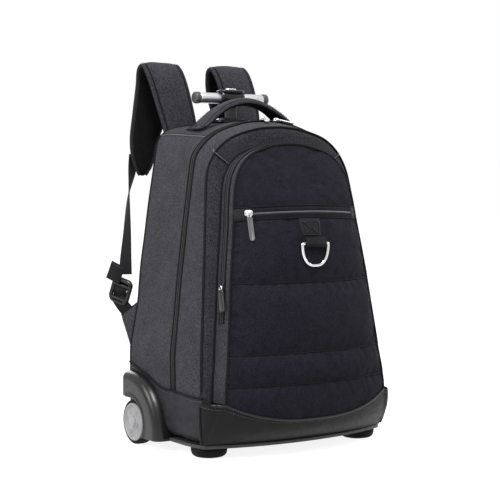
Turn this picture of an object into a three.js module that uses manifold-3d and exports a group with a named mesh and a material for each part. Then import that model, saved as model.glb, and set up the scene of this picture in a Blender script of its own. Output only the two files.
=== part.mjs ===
// Wheeled backpack with a single-pole telescopic trolley.
// Millimetres, +Z up, front towards -Y, left and right along X.
// While it is drawn, Y = 0 is the main zip's plane and Z = 0 the floor. The last lines move the
// whole model so that its origin is the middle of its footprint on the floor.
import * as THREE from 'three';
import { mergeVertices } from 'three/addons/utils/BufferGeometryUtils.js';
import Module from 'manifold-3d';

const wasm = await Module();
wasm.setup();

// Body
const bodyHalfWidth = 172;
const bodyHeight = 474;
const rearDepth = 119;
const gussetDepth = 92;
const shellWall = 3;
const backEdgeRadius = 4.5;
const frontEdgeRadius = 5;
const backPadRise = 5;

// Front pocket
const pocketHalfWidth = 144;
const pocketDepth = 28;
const pocketCrown = 31;
const pocketWall = 3;
const quiltRise = 3.2;
const pocketColumns = 12;
const rimFlare = 0.04;
const rimGap = 1.5;

// Zips
const zipTapeWidth = 9;
const zipTapeThick = 1.6;
const zipLift = 1.3;
const sliderLength = 13;
const sliderWidth = 9;
const pullerLength = 24;
const pullerWidth = 7;
const pullerThick = 2;

// Base, feet and wheels
const trayThick = 5;
const trayTop = 20.6;
const footRadius = 27;
const footInset = 34.3;
const footForward = 56;
const wheelRadius = 34.4;
const wheelWidth = 19;
const wheelProud = 3.7;
const axleBack = 86;
const hubRadius = 29;
const axleRadius = 4;
const fenderProud = 18;
const fenderRise = 96;
const fenderBevel = 10;
const fenderWall = 4;
const wheelGap = 2.2;
const fenderCrest = 14;
const fenderCorner = { back: 6, down: 8 };
const fenderFront = 8;
const fenderBack = 120;
const fenderLow = 15;
const fenderSunk = 25;
const archRadius = wheelRadius + wheelGap;
const leatherThick = 2.4;
const leatherBelly = 6;
const seamGap = 1.4;
const cornerRise = 6;
const baseCorner = 0.855;
const baseBow = 30;
const traySpread = 0.94;
const leatherSpread = 0.958;
const cornerSpread = 0.972;

// Trolley
const poleBack = 96;
const innerTube = { width: 17, depth: 12 };
const tubeWall = 1.2;
const tubeGap = 0.4;
const tubeCorner = 3;
const gripRise = 38.6;
const gripLength = 138;
const gripRadius = 8.5;
const gripCapLength = 9;
const housingWidth = 40;
const housingBrow = 48;
const housingDepth = 22;
const buttonLength = 18;
const buttonWidth = 9;
const buttonRise = 2.2;
const buttonTravel = 2.5;
const bezelWidth = 62;
const bezelDepth = 38;
const bezelThick = 6;

// Straps, handle and small pieces
const strapThick = 13;
const strapWidth = 68;
const strapReach = 55;
const webbingWidth = 25;
const webbingThick = 1.8;
const buckleWidth = 36;
const buckleHeight = 40;
const buckleThick = 7;
const wingThick = 3;
const handleThick = 13;
const handleWidth = 28;
const handleReach = 75;
const handleRise = 23.5;
const handleBack = 55;
const ringWire = 2.4;
const ringWidth = 49;
const ringDrop = 36;
const patchWidth = 40;
const patchHeight = 27;
const patchThick = 2.2;
const ringHang = 8.5;
const ringStand = 9;
const tailLength = 26;
const gap = 0.4;

// Half outlines of the body from bottom centre to crown. out is a share of the body's half
// width and up a share of its height. The three have matching rows.
const rearOutline = [
  { out: 0.0, up: 0.0 }, { out: 0.5, up: 0.0 }, { out: 0.9, up: 0.002 }, { out: 0.985, up: 0.035 },
  { out: 1.0, up: 0.13 }, { out: 1.0, up: 0.25 }, { out: 0.965, up: 0.33 }, { out: 0.924, up: 0.405 },
  { out: 0.89, up: 0.53 }, { out: 0.855, up: 0.612 }, { out: 0.802, up: 0.743 },
  { out: 0.756, up: 0.842 }, { out: 0.727, up: 0.907 }, { out: 0.703, up: 0.943 },
  { out: 0.651, up: 0.962 }, { out: 0.581, up: 0.977 }, { out: 0.4, up: 0.988 },
  { out: 0.2, up: 0.997 }, { out: 0.0, up: 1.0 },
];
const zipOutline = [
  { out: 0.0, up: 0.0 }, { out: 0.5, up: 0.0 }, { out: 0.9, up: 0.002 }, { out: 0.985, up: 0.035 },
  { out: 0.997, up: 0.13 }, { out: 0.985, up: 0.25 }, { out: 0.95, up: 0.33 }, { out: 0.915, up: 0.405 },
  { out: 0.875, up: 0.53 }, { out: 0.85, up: 0.612 }, { out: 0.798, up: 0.743 },
  { out: 0.756, up: 0.842 }, { out: 0.733, up: 0.886 }, { out: 0.69, up: 0.908 },
  { out: 0.61, up: 0.937 }, { out: 0.52, up: 0.958 }, { out: 0.35, up: 0.981 },
  { out: 0.18, up: 0.995 }, { out: 0.0, up: 1.0 },
];
const frontOutline = [
  { out: 0.0, up: 0.0 }, { out: 0.5, up: 0.0 }, { out: 0.87, up: 0.002 }, { out: 0.965, up: 0.03 },
  { out: 0.975, up: 0.1 }, { out: 0.955, up: 0.2 }, { out: 0.93, up: 0.295 }, { out: 0.905, up: 0.37 },
  { out: 0.87, up: 0.48 }, { out: 0.834, up: 0.595 }, { out: 0.785, up: 0.747 },
  { out: 0.756, up: 0.823 }, { out: 0.735, up: 0.85 }, { out: 0.7, up: 0.875 },
  { out: 0.64, up: 0.905 }, { out: 0.51, up: 0.94 }, { out: 0.35, up: 0.96 },
  { out: 0.18, up: 0.973 }, { out: 0.0, up: 0.977 },
];

// Where the zip and the front piping run: depth shares, of the gusset's depth, by height share.
const depthRows = [
  { up: 0.0, zip: -0.15, front: -0.83 },
  { up: 0.04, zip: -0.14, front: -0.9 },
  { up: 0.15, zip: -0.12, front: -0.9 },
  { up: 0.29, zip: -0.04, front: -0.81 },
  { up: 0.45, zip: 0.03, front: -0.7 },
  { up: 0.6, zip: 0.02, front: -0.6 },
  { up: 0.75, zip: 0.03, front: -0.49 },
  { up: 0.87, zip: 0.04, front: -0.41 },
  { up: 1.0, zip: 0.04, front: -0.42 },
];

// The front pocket by height: half width, how far its edge stands off the body and its crown,
// as shares of their named sizes, and the quilting's swell between the seams.
const pocketRows = [
  { up: 0.128, half: 1.004, off: 1.0, crown: 0.78, swell: 0.0 },
  { up: 0.156, half: 0.998, off: 1.0, crown: 0.88, swell: 0.9 },
  { up: 0.184, half: 0.99, off: 1.0, crown: 0.92, swell: 0.0 },
  { up: 0.2, half: 0.985, off: 1.02, crown: 0.94, swell: 0.75 },
  { up: 0.232, half: 0.968, off: 1.04, crown: 0.97, swell: 1.0 },
  { up: 0.264, half: 0.953, off: 1.05, crown: 0.98, swell: 0.75 },
  { up: 0.279, half: 0.948, off: 1.06, crown: 0.99, swell: 0.0 },
  { up: 0.297, half: 0.942, off: 1.07, crown: 1.0, swell: 0.7 },
  { up: 0.385, half: 0.906, off: 1.1, crown: 1.02, swell: 1.0 },
  { up: 0.475, half: 0.87, off: 1.12, crown: 1.03, swell: 0.7 },
  { up: 0.495, half: 0.862, off: 1.12, crown: 1.03, swell: 0.0 },
  { up: 0.515, half: 0.855, off: 1.13, crown: 1.03, swell: 0.7 },
  { up: 0.59, half: 0.82, off: 1.14, crown: 1.04, swell: 1.0 },
  { up: 0.68, half: 0.776, off: 1.15, crown: 1.0, swell: 0.5 },
  { up: 0.702, half: 0.768, off: 1.15, crown: 0.97, swell: 0.0 },
  { up: 0.75, half: 0.748, off: 1.15, crown: 0.8, swell: 0.35 },
  { up: 0.805, half: 0.71, off: 1.15, crown: 0.55, swell: 0.3 },
  { up: 0.846, half: 0.642, off: 1.14, crown: 0.35, swell: 0.2 },
  { up: 0.876, half: 0.55, off: 1.12, crown: 0.2, swell: 0.1 },
  { up: 0.897, half: 0.43, off: 1.1, crown: 0.1, swell: 0.0 },
  { up: 0.912, half: 0.26, off: 1.08, crown: 0.04, swell: 0.0 },
];
const seamSag = 28;
const seamSagPower = 2.6;
const pocketTopBow = 4;
const panelZip = { up: 0.702, half: 9, end: 0.97, rise: 4 };
const panelSliderOut = -0.523;
const gussetSliderUp = 0.477;

// A shoulder strap's middle line, from where it is sewn to the back, over and down behind: out and
// up are shares of the body's half width and height, back of the strap's reach behind the bag, and
// width and thick of the strap's own.
const leftStrapRows = [
  { out: -0.395, back: 0.182, up: 0.897, width: 0.853, thick: 0.70 },
  { out: -0.407, back: 0.273, up: 0.977, width: 0.912, thick: 1.00 },
  { out: -0.453, back: 0.345, up: 1.055, width: 0.971, thick: 1.00 },
  { out: -0.512, back: 0.418, up: 1.134, width: 1.000, thick: 1.00 },
  { out: -0.547, back: 0.527, up: 1.174, width: 1.015, thick: 1.00 },
  { out: -0.564, back: 0.691, up: 1.189, width: 1.029, thick: 1.00 },
  { out: -0.570, back: 0.855, up: 1.172, width: 1.000, thick: 1.00 },
  { out: -0.576, back: 0.964, up: 1.117, width: 0.941, thick: 1.00 },
  { out: -0.616, back: 1.000, up: 1.025, width: 0.882, thick: 1.00 },
  { out: -0.669, back: 1.000, up: 0.951, width: 0.750, thick: 1.00 },
  { out: -0.686, back: 0.982, up: 0.892, width: 0.632, thick: 0.90 },
  { out: -0.692, back: 0.964, up: 0.848, width: 0.412, thick: 0.75 },
  { out: -0.692, back: 0.964, up: 0.823, width: 0.191, thick: 0.50 },
];
const rightStrapRows = [
  { out: 0.320, back: 0.182, up: 0.897, width: 0.853, thick: 0.70 },
  { out: 0.308, back: 0.273, up: 0.977, width: 0.912, thick: 1.00 },
  { out: 0.285, back: 0.345, up: 1.055, width: 0.971, thick: 1.00 },
  { out: 0.233, back: 0.418, up: 1.134, width: 1.000, thick: 1.00 },
  { out: 0.198, back: 0.527, up: 1.174, width: 1.015, thick: 1.00 },
  { out: 0.180, back: 0.691, up: 1.189, width: 1.029, thick: 1.00 },
  { out: 0.180, back: 0.855, up: 1.172, width: 1.000, thick: 1.00 },
  { out: 0.198, back: 0.964, up: 1.117, width: 0.941, thick: 1.00 },
  { out: 0.279, back: 1.000, up: 1.025, width: 0.882, thick: 1.00 },
  { out: 0.407, back: 1.000, up: 0.951, width: 0.750, thick: 1.00 },
  { out: 0.523, back: 0.982, up: 0.892, width: 0.632, thick: 0.90 },
  { out: 0.581, back: 0.964, up: 0.848, width: 0.412, thick: 0.75 },
  { out: 0.616, back: 0.964, up: 0.823, width: 0.191, thick: 0.50 },
];
// The webbing from the strap's end to its buckle: turn is its width's heading in degrees.
const leftWebbingRows = [
  { out: -0.744, back: 1.136, up: 0.892, turn: 12 },
  { out: -0.773, back: 1.118, up: 0.842, turn: 30 },
  { out: -0.849, back: 0.909, up: 0.753, turn: 66 },
  { out: -0.901, back: 0.709, up: 0.631, turn: 92 },
  { out: -0.930, back: 0.618, up: 0.557, turn: 110 },
  { out: -0.948, back: 0.555, up: 0.496, turn: 127 },
];
const rightWebbingRows = [
  { out: 0.651, back: 1.136, up: 0.892, turn: 168 },
  { out: 0.703, back: 1.118, up: 0.842, turn: 150 },
  { out: 0.831, back: 0.909, up: 0.753, turn: 114 },
  { out: 0.901, back: 0.709, up: 0.631, turn: 88 },
  { out: 0.930, back: 0.618, up: 0.557, turn: 70 },
  { out: 0.948, back: 0.555, up: 0.496, turn: 53 },
];

const lerp = THREE.MathUtils.lerp;
const baseZ = trayTop + gap;
const footSpread = bodyHalfWidth - footInset;
const wheelSpread = bodyHalfWidth + wheelProud;
const fenderOutside = bodyHalfWidth + fenderProud;
const fenderInside = bodyHalfWidth - fenderSunk;
const crownZ = baseZ + bodyHeight;
const gripHeight = crownZ + gripRise;
const heightOf = (up) => baseZ + up * bodyHeight;
const shareOf = (z) => (z - baseZ) / bodyHeight;

// Reads a column of a table at a height share, smoothly between rows.
function column(rows, key, up) {
  const last = rows.length - 1;
  if (up <= rows[0].up) return rows[0][key];
  if (up >= rows[last].up) return rows[last][key];
  const i = rows.findIndex((row) => row.up > up) - 1;
  const before = rows[Math.max(i - 1, 0)];
  const a = rows[i];
  const b = rows[i + 1];
  const after = rows[Math.min(i + 2, last)];
  const span = b.up - a.up;
  const t = (up - a.up) / span;
  const slopeA = ((b[key] - before[key]) / (b.up - before.up)) * span;
  const slopeB = ((after[key] - a[key]) / (after.up - a.up)) * span;
  const t2 = t * t;
  const t3 = t2 * t;
  return (2 * t3 - 3 * t2 + 1) * a[key] + (t3 - 2 * t2 + t) * slopeA
    + (3 * t2 - 2 * t3) * b[key] + (t3 - t2) * slopeB;
}

const zipY = (z) => column(depthRows, 'zip', shareOf(z)) * gussetDepth;
// The shells leave room for the zip above its lower end, and nearly meet below it.
const zipEnd = 0.155;
function rimRoom(z) {
  const open = THREE.MathUtils.smoothstep(shareOf(z), zipEnd - 0.03, zipEnd - 0.01);
  return lerp(gap, zipTapeWidth / 2 + gap, open);
}
const frontY = (z) => column(depthRows, 'front', shareOf(z)) * gussetDepth;

// Closed mesh from points and triangles, turned so that it encloses a positive volume.
function closedBody(points, faces) {
  let volume = 0;
  for (const [a, b, c] of faces) {
    volume += points[a].dot(new THREE.Vector3().crossVectors(points[b], points[c]));
  }
  const index = faces.flatMap(([a, b, c]) => (volume < 0 ? [a, c, b] : [a, b, c]));
  const geometry = new THREE.BufferGeometry().setFromPoints(points);
  geometry.setIndex(index);
  geometry.computeVertexNormals();
  return geometry;
}

// Body from rings of equal length, each joined to the next, with both ends filled.
function skinRings(rings, closeEnds = true) {
  const count = rings[0].length;
  const points = rings.flat();
  const faces = [];
  const bands = closeEnds ? rings.length - 1 : rings.length;
  for (let r = 0; r < bands; r += 1) {
    const here = r * count;
    const next = ((r + 1) % rings.length) * count;
    for (let i = 0; i < count; i += 1) {
      const j = (i + 1) % count;
      faces.push([here + i, here + j, next + j], [here + i, next + j, next + i]);
    }
  }
  if (closeEnds) {
    for (const [ring, flip] of [[0, true], [rings.length - 1, false]]) {
      const middle = new THREE.Vector3();
      rings[ring].forEach((p) => middle.add(p));
      points.push(middle.divideScalar(count));
      for (let i = 0; i < count; i += 1) {
        const a = ring * count + i;
        const b = ring * count + ((i + 1) % count);
        faces.push(flip ? [b, a, points.length - 1] : [a, b, points.length - 1]);
      }
    }
  }
  return closedBody(points, faces);
}

// Solids for the few pieces that are cut or joined.
function toSolid(geometry) {
  const bare = geometry.clone();
  bare.deleteAttribute('normal');
  bare.deleteAttribute('uv');
  const merged = mergeVertices(bare, 1e-4);
  return new wasm.Manifold(new wasm.Mesh({
    numProp: 3,
    vertProperties: new Float32Array(merged.attributes.position.array),
    triVerts: new Uint32Array(merged.index.array),
  }));
}

function toGeometry(solid) {
  const mesh = solid.getMesh();
  const geometry = new THREE.BufferGeometry();
  geometry.setAttribute('position', new THREE.BufferAttribute(new Float32Array(mesh.vertProperties), 3));
  geometry.setIndex(new THREE.BufferAttribute(new Uint32Array(mesh.triVerts), 1));
  geometry.computeVertexNormals();
  return geometry;
}

// One closed loop in the XZ plane from a half outline, as points with y left at 0.
function loopOf(rows) {
  const right = rows.map((row) => new THREE.Vector3(row.out * bodyHalfWidth, 0, heightOf(row.up)));
  const left = right.slice(1, -1).reverse().map((p) => new THREE.Vector3(-p.x, 0, p.z));
  return [...right, ...left];
}

const middleZ = heightOf(0.5);
const rearLoop = loopOf(rearOutline);
const zipLoop = loopOf(zipOutline);
const frontLoop = loopOf(frontOutline);

// A loop between two others, drawn in by inset and set at the depth that depthOf gives.
function ringBetween(loopA, loopB, share, inset, depthOf) {
  return loopA.map((a, i) => {
    const p = a.clone().lerp(loopB[i], share);
    const x = p.x * (1 - inset / bodyHalfWidth);
    const z = Math.max(middleZ + (p.z - middleZ) * (1 - (2 * inset) / bodyHeight), baseZ);
    return new THREE.Vector3(x, depthOf(x, z), z);
  });
}

const scaledRing = (ring, size, depthOf) => ring.map((p) => {
  const x = p.x * size;
  const z = middleZ + (p.z - middleZ) * size;
  return new THREE.Vector3(x, depthOf(x, z), z);
});

// A shell open at its first ring: outer rings to the closed end, then inner rings back out.
function openShell(outerRings, innerRings) {
  const rings = [...outerRings, ...innerRings.slice().reverse()];
  const count = rings[0].length;
  const points = rings.flat();
  const faces = [];
  const seam = outerRings.length - 1;
  for (let r = 0; r < rings.length; r += 1) {
    if (r === seam) continue;
    const here = r * count;
    const next = ((r + 1) % rings.length) * count;
    for (let i = 0; i < count; i += 1) {
      const j = (i + 1) % count;
      faces.push([here + i, here + j, next + j], [here + i, next + j, next + i]);
    }
  }
  for (const [ring, flip] of [[seam, false], [seam + 1, true]]) {
    const middle = new THREE.Vector3();
    rings[ring].forEach((p) => middle.add(p));
    points.push(middle.divideScalar(count));
    for (let i = 0; i < count; i += 1) {
      const a = ring * count + i;
      const b = ring * count + ((i + 1) % count);
      faces.push(flip ? [b, a, points.length - 1] : [a, b, points.length - 1]);
    }
  }
  return closedBody(points, faces);
}

// Back compartment: back panel, sides, crown and bottom, open at the main zip.
function rearShell() {
  const edge = 1 - backEdgeRadius / rearDepth;
  const rows = [
    { along: 0, inset: 0 },
    { along: 0.45, inset: 0 },
    { along: edge, inset: 0 },
    { along: lerp(edge, 1, 0.7), inset: backEdgeRadius * 0.3 },
    { along: 1, inset: backEdgeRadius },
  ];
  const depth = (along, wall) => (x, z) => lerp(zipY(z) + rimRoom(z), rearDepth - wall, along);
  const ring = (row, wall) => ringBetween(
    zipLoop, rearLoop, row.along, row.inset + wall, depth(row.along, wall && row.along ? wall : 0),
  );
  const outer = rows.map((row) => ring(row, 0));
  const inner = rows.map((row) => ring(row, shellWall));
  const bulge = (wall) => (size) => () => rearDepth - wall + backPadRise * (1 - size ** 4);
  for (const size of [0.82, 0.4]) {
    outer.push(scaledRing(outer[rows.length - 1], size, bulge(0)(size)));
    inner.push(scaledRing(inner[rows.length - 1], size, bulge(shellWall)(size)));
  }
  return openShell(outer, inner);
}

// Front half of the main compartment: its gusset, and the front face that carries the pocket.
function frontShell() {
  const rows = [
    { along: 0, back: 0, inset: 0 },
    { along: 0.5, back: 0, inset: -1.5 },
    { along: 1, back: frontEdgeRadius, inset: 0 },
    { along: 1, back: 0, inset: frontEdgeRadius },
  ];
  const ring = (row, wall) => ringBetween(
    zipLoop, frontLoop, row.along, row.inset + wall,
    (x, z) => lerp(zipY(z) - rimRoom(z), frontY(z) + row.back + wall, row.along),
  );
  const outer = rows.map((row) => ring(row, 0));
  const inner = rows.map((row) => ring(row, shellWall));
  for (const size of [0.86, 0.62, 0.3]) {
    outer.push(scaledRing(outer[rows.length - 1], size, (x, z) => frontY(z)));
    inner.push(scaledRing(inner[rows.length - 1], size, (x, z) => frontY(z) + shellWall));
  }
  return openShell(outer, inner);
}

// A flat band that follows part of a closed loop: inner and outer radius given by insets.
function loopBand(loop, from, to, depthOf, width, insetOut, insetIn) {
  const rings = [];
  for (let k = from; k <= to; k += 1) {
    const i = ((k % loop.length) + loop.length) % loop.length;
    const at = (inset, side) => {
      const x = loop[i].x * (1 - inset / bodyHalfWidth);
      const z = middleZ + (loop[i].z - middleZ) * (1 - (2 * inset) / bodyHeight);
      return new THREE.Vector3(x, depthOf(z) + (side * width) / 2, z);
    };
    rings.push([at(insetOut, -1), at(insetOut, 1), at(insetIn, 1), at(insetIn, -1)]);
  }
  return skinRings(rings);
}

// Round cord along a list of points.
function cordAlong(points, radius, sides, steps) {
  const curve = new THREE.CatmullRomCurve3(points, false, 'centripetal');
  const frames = curve.computeFrenetFrames(steps, false);
  const rings = [];
  for (let s = 0; s <= steps; s += 1) {
    const centre = curve.getPointAt(s / steps);
    const ring = [];
    for (let k = 0; k < sides; k += 1) {
      const angle = (k / sides) * Math.PI * 2;
      ring.push(centre.clone()
        .addScaledVector(frames.normals[s], Math.cos(angle) * radius)
        .addScaledVector(frames.binormals[s], Math.sin(angle) * radius));
    }
    rings.push(ring);
  }
  return skinRings(rings);
}

// The pocket's front surface. across runs from -1 at its left edge to 1 at its right edge.
const seamZ = (across) => heightOf(pocketRows[0].up) - seamSag * (1 - Math.abs(across) ** seamSagPower);
const pocketHalf = (z) => column(pocketRows, 'half', shareOf(z)) * pocketHalfWidth;
const pocketEdgeY = (z) => frontY(z) - column(pocketRows, 'off', shareOf(z)) * pocketDepth;
const gussetHalf = (z) => pocketHalf(z) * (1 + (rimFlare / 2) * (1 - shareOf(z)));
function pocketFaceY(across, z, swell = 0) {
  const crown = column(pocketRows, 'crown', shareOf(z)) * pocketCrown;
  const bow = 1 - Math.abs(across) ** 2.3;
  return pocketEdgeY(z) - crown * bow - swell * quiltRise * Math.sqrt(Math.max(bow, 0));
}

// Front pocket: quilted front and gusset, open towards the body that it is sewn to.
function pocketShell() {
  const columns = pocketColumns;
  const grid = (wall) => pocketRows.map((row, r) => {
    const line = [];
    for (let c = 0; c <= columns; c += 1) {
      const across = (2 * c) / columns - 1;
      let z = heightOf(row.up);
      if (r === 0) z = seamZ(across) + wall;
      if (r === pocketRows.length - 1) z += pocketTopBow * (1 - across * across) - wall;
      const half = pocketHalf(heightOf(row.up)) - wall;
      line.push(new THREE.Vector3(across * half, pocketFaceY(across, z, row.swell) + wall, z));
    }
    return line;
  });
  const border = (lines) => {
    const last = lines.length - 1;
    return [
      ...lines[0].slice(0, -1),
      ...lines.slice(0, -1).map((line) => line[columns]),
      ...lines[last].slice(1).reverse(),
      ...lines.slice(1).reverse().map((line) => line[0]),
    ];
  };
  const rimOf = (lines) => border(lines).map((p) => {
    const spread = 1 + rimFlare * (1 - shareOf(p.z));
    return new THREE.Vector3(p.x * spread, frontY(p.z) - rimGap, p.z);
  });
  const points = [];
  const faces = [];
  const id = new Map();
  const keep = (p) => {
    if (!id.has(p)) {
      id.set(p, points.length);
      points.push(p);
    }
    return id.get(p);
  };
  const quad = (a, b, c, d, flip) => {
    const [i, j, k, l] = [a, b, c, d].map(keep);
    if (flip) faces.push([i, k, j], [i, l, k]);
    else faces.push([i, j, k], [i, k, l]);
  };
  const rims = [];
  for (const wall of [0, pocketWall]) {
    const lines = grid(wall);
    const flip = wall > 0;
    for (let r = 0; r + 1 < lines.length; r += 1) {
      for (let c = 0; c < columns; c += 1) {
        quad(lines[r][c], lines[r][c + 1], lines[r + 1][c + 1], lines[r + 1][c], flip);
      }
    }
    const edge = border(lines);
    const rim = rimOf(lines);
    rims.push(rim);
    edge.forEach((p, i) => {
      const j = (i + 1) % edge.length;
      quad(p, rim[i], rim[j], edge[j], flip);
    });
  }
  rims[0].forEach((p, i) => {
    const j = (i + 1) % rims[0].length;
    quad(p, rims[1][i], rims[1][j], rims[0][j], false);
  });
  return closedBody(points, faces);
}

// Strip of the pocket's zip, laid round the gusset from one side over the arch to the other.
function pocketZip() {
  const start = pocketRows.findIndex((row) => row.up > 0.4);
  const rows = pocketRows.slice(start);
  const side = (sign) => rows.map((row) => {
    const z = heightOf(row.up);
    return new THREE.Vector3(sign * gussetHalf(z), 0, z);
  });
  const top = [-0.5, 0, 0.5].map((across) => {
    const row = rows[rows.length - 1];
    const z = heightOf(row.up) + pocketTopBow * (1 - across * across);
    return new THREE.Vector3(across * pocketHalf(heightOf(row.up)), 0, z);
  });
  const path = [...side(-1), ...top, ...side(1).reverse()];
  const rings = path.map((p, i) => {
    const before = path[Math.max(i - 1, 0)];
    const after = path[Math.min(i + 1, path.length - 1)];
    const run = after.clone().sub(before).normalize();
    const out = new THREE.Vector3(-run.z, 0, run.x);
    const mid = lerp(frontY(p.z), pocketEdgeY(p.z), 0.5);
    const at = (lift, back) => new THREE.Vector3(
      p.x + out.x * lift, mid + (back * zipTapeWidth) / 2, p.z + out.z * lift,
    );
    const high = zipLift + zipTapeThick;
    return [at(zipLift, -1), at(zipLift, 1), at(high, 1), at(high, -1)];
  });
  return skinRings(rings);
}

// Strip that lies on the pocket's face between two across values, as a closed band.
function faceBand(fromAcross, toAcross, steps, lowZ, highZ, thick, rise = 0) {
  const rings = [];
  for (let s = 0; s <= steps; s += 1) {
    const across = lerp(fromAcross, toAcross, s / steps);
    const up = rise * (1 - across * across);
    const at = (z, out) => new THREE.Vector3(
      across * pocketHalf(z), faceTop(across, z + up) - out, z + up,
    );
    rings.push([at(lowZ, 0), at(lowZ, thick), at(highZ, thick), at(highZ, 0)]);
  }
  return skinRings(rings);
}

// Front of the quilting, just clear of its swell.
function faceTop(across, z) {
  return pocketFaceY(across, z, 0.75) - 0.7;
}

// Plan curve of the base's front: how far it lies in front of the zip for a share of its width.
const baseCurve = (share) => -(gussetDepth * baseCorner + baseBow * (1 - share ** 2.2));

// Leather skirt round the pocket's foot, from the body's left corner to its right corner.
function leatherBase() {
  const rows = [0, 0.22, 0.5, 0.8, 1];
  const corner = 0.8;
  const cornerSteps = 3;
  const spots = [];
  for (let c = cornerSteps; c > 0; c -= 1) spots.push(-lerp(corner, 1, c / cornerSteps));
  for (let c = 0; c <= pocketColumns; c += 1) spots.push(corner * ((2 * c) / pocketColumns - 1));
  for (let c = 1; c <= cornerSteps; c += 1) spots.push(lerp(corner, 1, c / cornerSteps));
  const baseHalf = bodyHalfWidth * leatherSpread;
  const trayEdge = (across) => {
    const share = Math.sin((Math.abs(across) * Math.PI) / 2) ** 0.86;
    return new THREE.Vector3(Math.sign(across) * share * baseHalf, baseCurve(share), trayTop + gap);
  };
  const seamEdge = (across) => {
    const bend = Math.abs(across);
    if (bend <= corner + 1e-6) {
      const share = across / corner;
      const z = seamZ(share);
      return new THREE.Vector3(share * pocketHalf(z), pocketFaceY(share, z) - 0.4, z - seamGap);
    }
    const turn = ((bend - corner) / (1 - corner)) * (Math.PI / 2);
    const z = heightOf(pocketRows[0].up);
    const x = lerp(pocketHalf(z), bodyHalfWidth * cornerSpread + 4, Math.sin(turn));
    const y = lerp(pocketEdgeY(z) - 0.4, frontY(z) - 1.5, 1 - Math.cos(turn));
    const rise = cornerRise * (1 - Math.cos(turn));
    return new THREE.Vector3(Math.sign(across) * x, y, z - seamGap + rise);
  };
  const skin = (inset) => spots.map((across) => {
    const low = trayEdge(across);
    const high = seamEdge(across);
    return rows.map((t) => {
      const p = low.clone().lerp(high, t);
      const out = new THREE.Vector3(p.x / bodyHalfWidth, -1.1, 0).normalize();
      return p.addScaledVector(out, leatherBelly * Math.sin(Math.PI * t) - inset);
    });
  });
  const outer = skin(0);
  const inner = skin(leatherThick);
  return skinRings(outer.map((line, s) => [...line, ...inner[s].slice().reverse()]));
}

const box = (x, y, z) => new THREE.BoxGeometry(x, y, z);

// Flat plate from an outline in X and Y, standing from low to high.
function plate(points, low, high) {
  const shape = new THREE.Shape(points);
  const geometry = new THREE.ExtrudeGeometry(shape, { depth: high - low, bevelEnabled: false });
  geometry.translate(0, 0, low);
  return geometry;
}

// Hard tray under the bag. It is narrower at the back, between the wheel housings.
function baseTray() {
  const outline = [];
  const steps = 14;
  const half = bodyHalfWidth * traySpread;
  for (let k = 0; k <= steps; k += 1) {
    const share = (2 * k) / steps - 1;
    outline.push(new THREE.Vector2(share * half, baseCurve(Math.abs(share)) - 1));
  }
  const side = bodyHalfWidth - 4;
  const inside = fenderInside - gap;
  const notch = fenderFront - gap;
  const back = rearDepth - 6;
  const right = [[side - 2, -58], [side, -40], [side, notch], [inside, notch], [inside, back]];
  right.forEach(([x, y]) => outline.push(new THREE.Vector2(x, y)));
  right.reverse().forEach(([x, y]) => outline.push(new THREE.Vector2(-x, y)));
  return plate(outline, trayTop - trayThick, trayTop);
}

function foot() {
  const high = trayTop - trayThick - gap;
  const rows = [
    { out: 0, up: 0 }, { out: 0.62, up: 0 }, { out: 0.82, up: 0.1 }, { out: 0.94, up: 0.32 },
    { out: 1, up: 0.7 }, { out: 1, up: 1 }, { out: 0, up: 1 },
  ];
  const profile = rows.map((row) => new THREE.Vector2(row.out * footRadius, row.up * high));
  return new THREE.LatheGeometry(profile, 20).rotateX(Math.PI / 2);
}

// Wheel housing. Its side outline has a round front, a rounded rear corner and the wheel's arch.
function fenderOutline(inset) {
  const points = [];
  const top = fenderLow + fenderRise - inset;
  const front = fenderFront + inset;
  const crest = axleBack + fenderCrest;
  const steps = 12;
  for (let k = 0; k <= steps; k += 1) {
    const angle = (k / steps) * (Math.PI / 2);
    const y = crest - (crest - front) * Math.cos(angle);
    points.push([y, fenderLow + (top - fenderLow) * Math.sin(angle) ** 0.92]);
  }
  const back = fenderBack - inset * 0.8;
  points.push([back - fenderCorner.back, top - 1]);
  points.push([back, top - fenderCorner.down], [back, fenderLow]);
  return points;
}

// Its section across the bag: shares of the way from inside to outside, and of the bevel.
const fenderRows = [
  { along: 0, bevel: 0 }, { along: 0.55, bevel: 0 }, { along: 0.837, bevel: 0.1 },
  { along: 0.953, bevel: 0.6 }, { along: 1, bevel: 1 },
];

function housingBlock(inset, from, to) {
  return skinRings(fenderRows.map((row) => {
    const x = lerp(from, to, row.along);
    const outline = fenderOutline(inset + row.bevel * fenderBevel);
    return outline.map(([y, z]) => new THREE.Vector3(x, y, z));
  }));
}

function fender() {
  const wide = 2 * fenderSunk + 10;
  const long = 80;
  const well = new THREE.CylinderGeometry(archRadius, archRadius, wide, 40);
  well.rotateZ(Math.PI / 2);
  const x = fenderInside + fenderWall + wide / 2;
  well.translate(x, axleBack, wheelRadius);
  const high = wheelRadius + archRadius;
  const rearGap = box(wide, long, high);
  rearGap.translate(x, axleBack + long / 2, high / 2 - 0.5);
  const below = box(wide, 2 * archRadius, wheelRadius * 2);
  below.translate(x, axleBack, 0);
  const solid = toSolid(housingBlock(0, fenderInside, fenderOutside))
    .subtract(toSolid(well)).subtract(toSolid(rearGap)).subtract(toSolid(below));
  return toGeometry(solid);
}

function indexed(geometry) {
  const bare = geometry.clone();
  bare.deleteAttribute('normal');
  bare.deleteAttribute('uv');
  return mergeVertices(bare, 1e-4);
}

function mirrored(geometry) {
  const copy = indexed(geometry);
  copy.scale(-1, 1, 1);
  const index = copy.index.array.slice();
  for (let i = 0; i < index.length; i += 3) [index[i], index[i + 1]] = [index[i + 1], index[i]];
  copy.setIndex(new THREE.BufferAttribute(index, 1));
  copy.computeVertexNormals();
  return copy;
}

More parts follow.
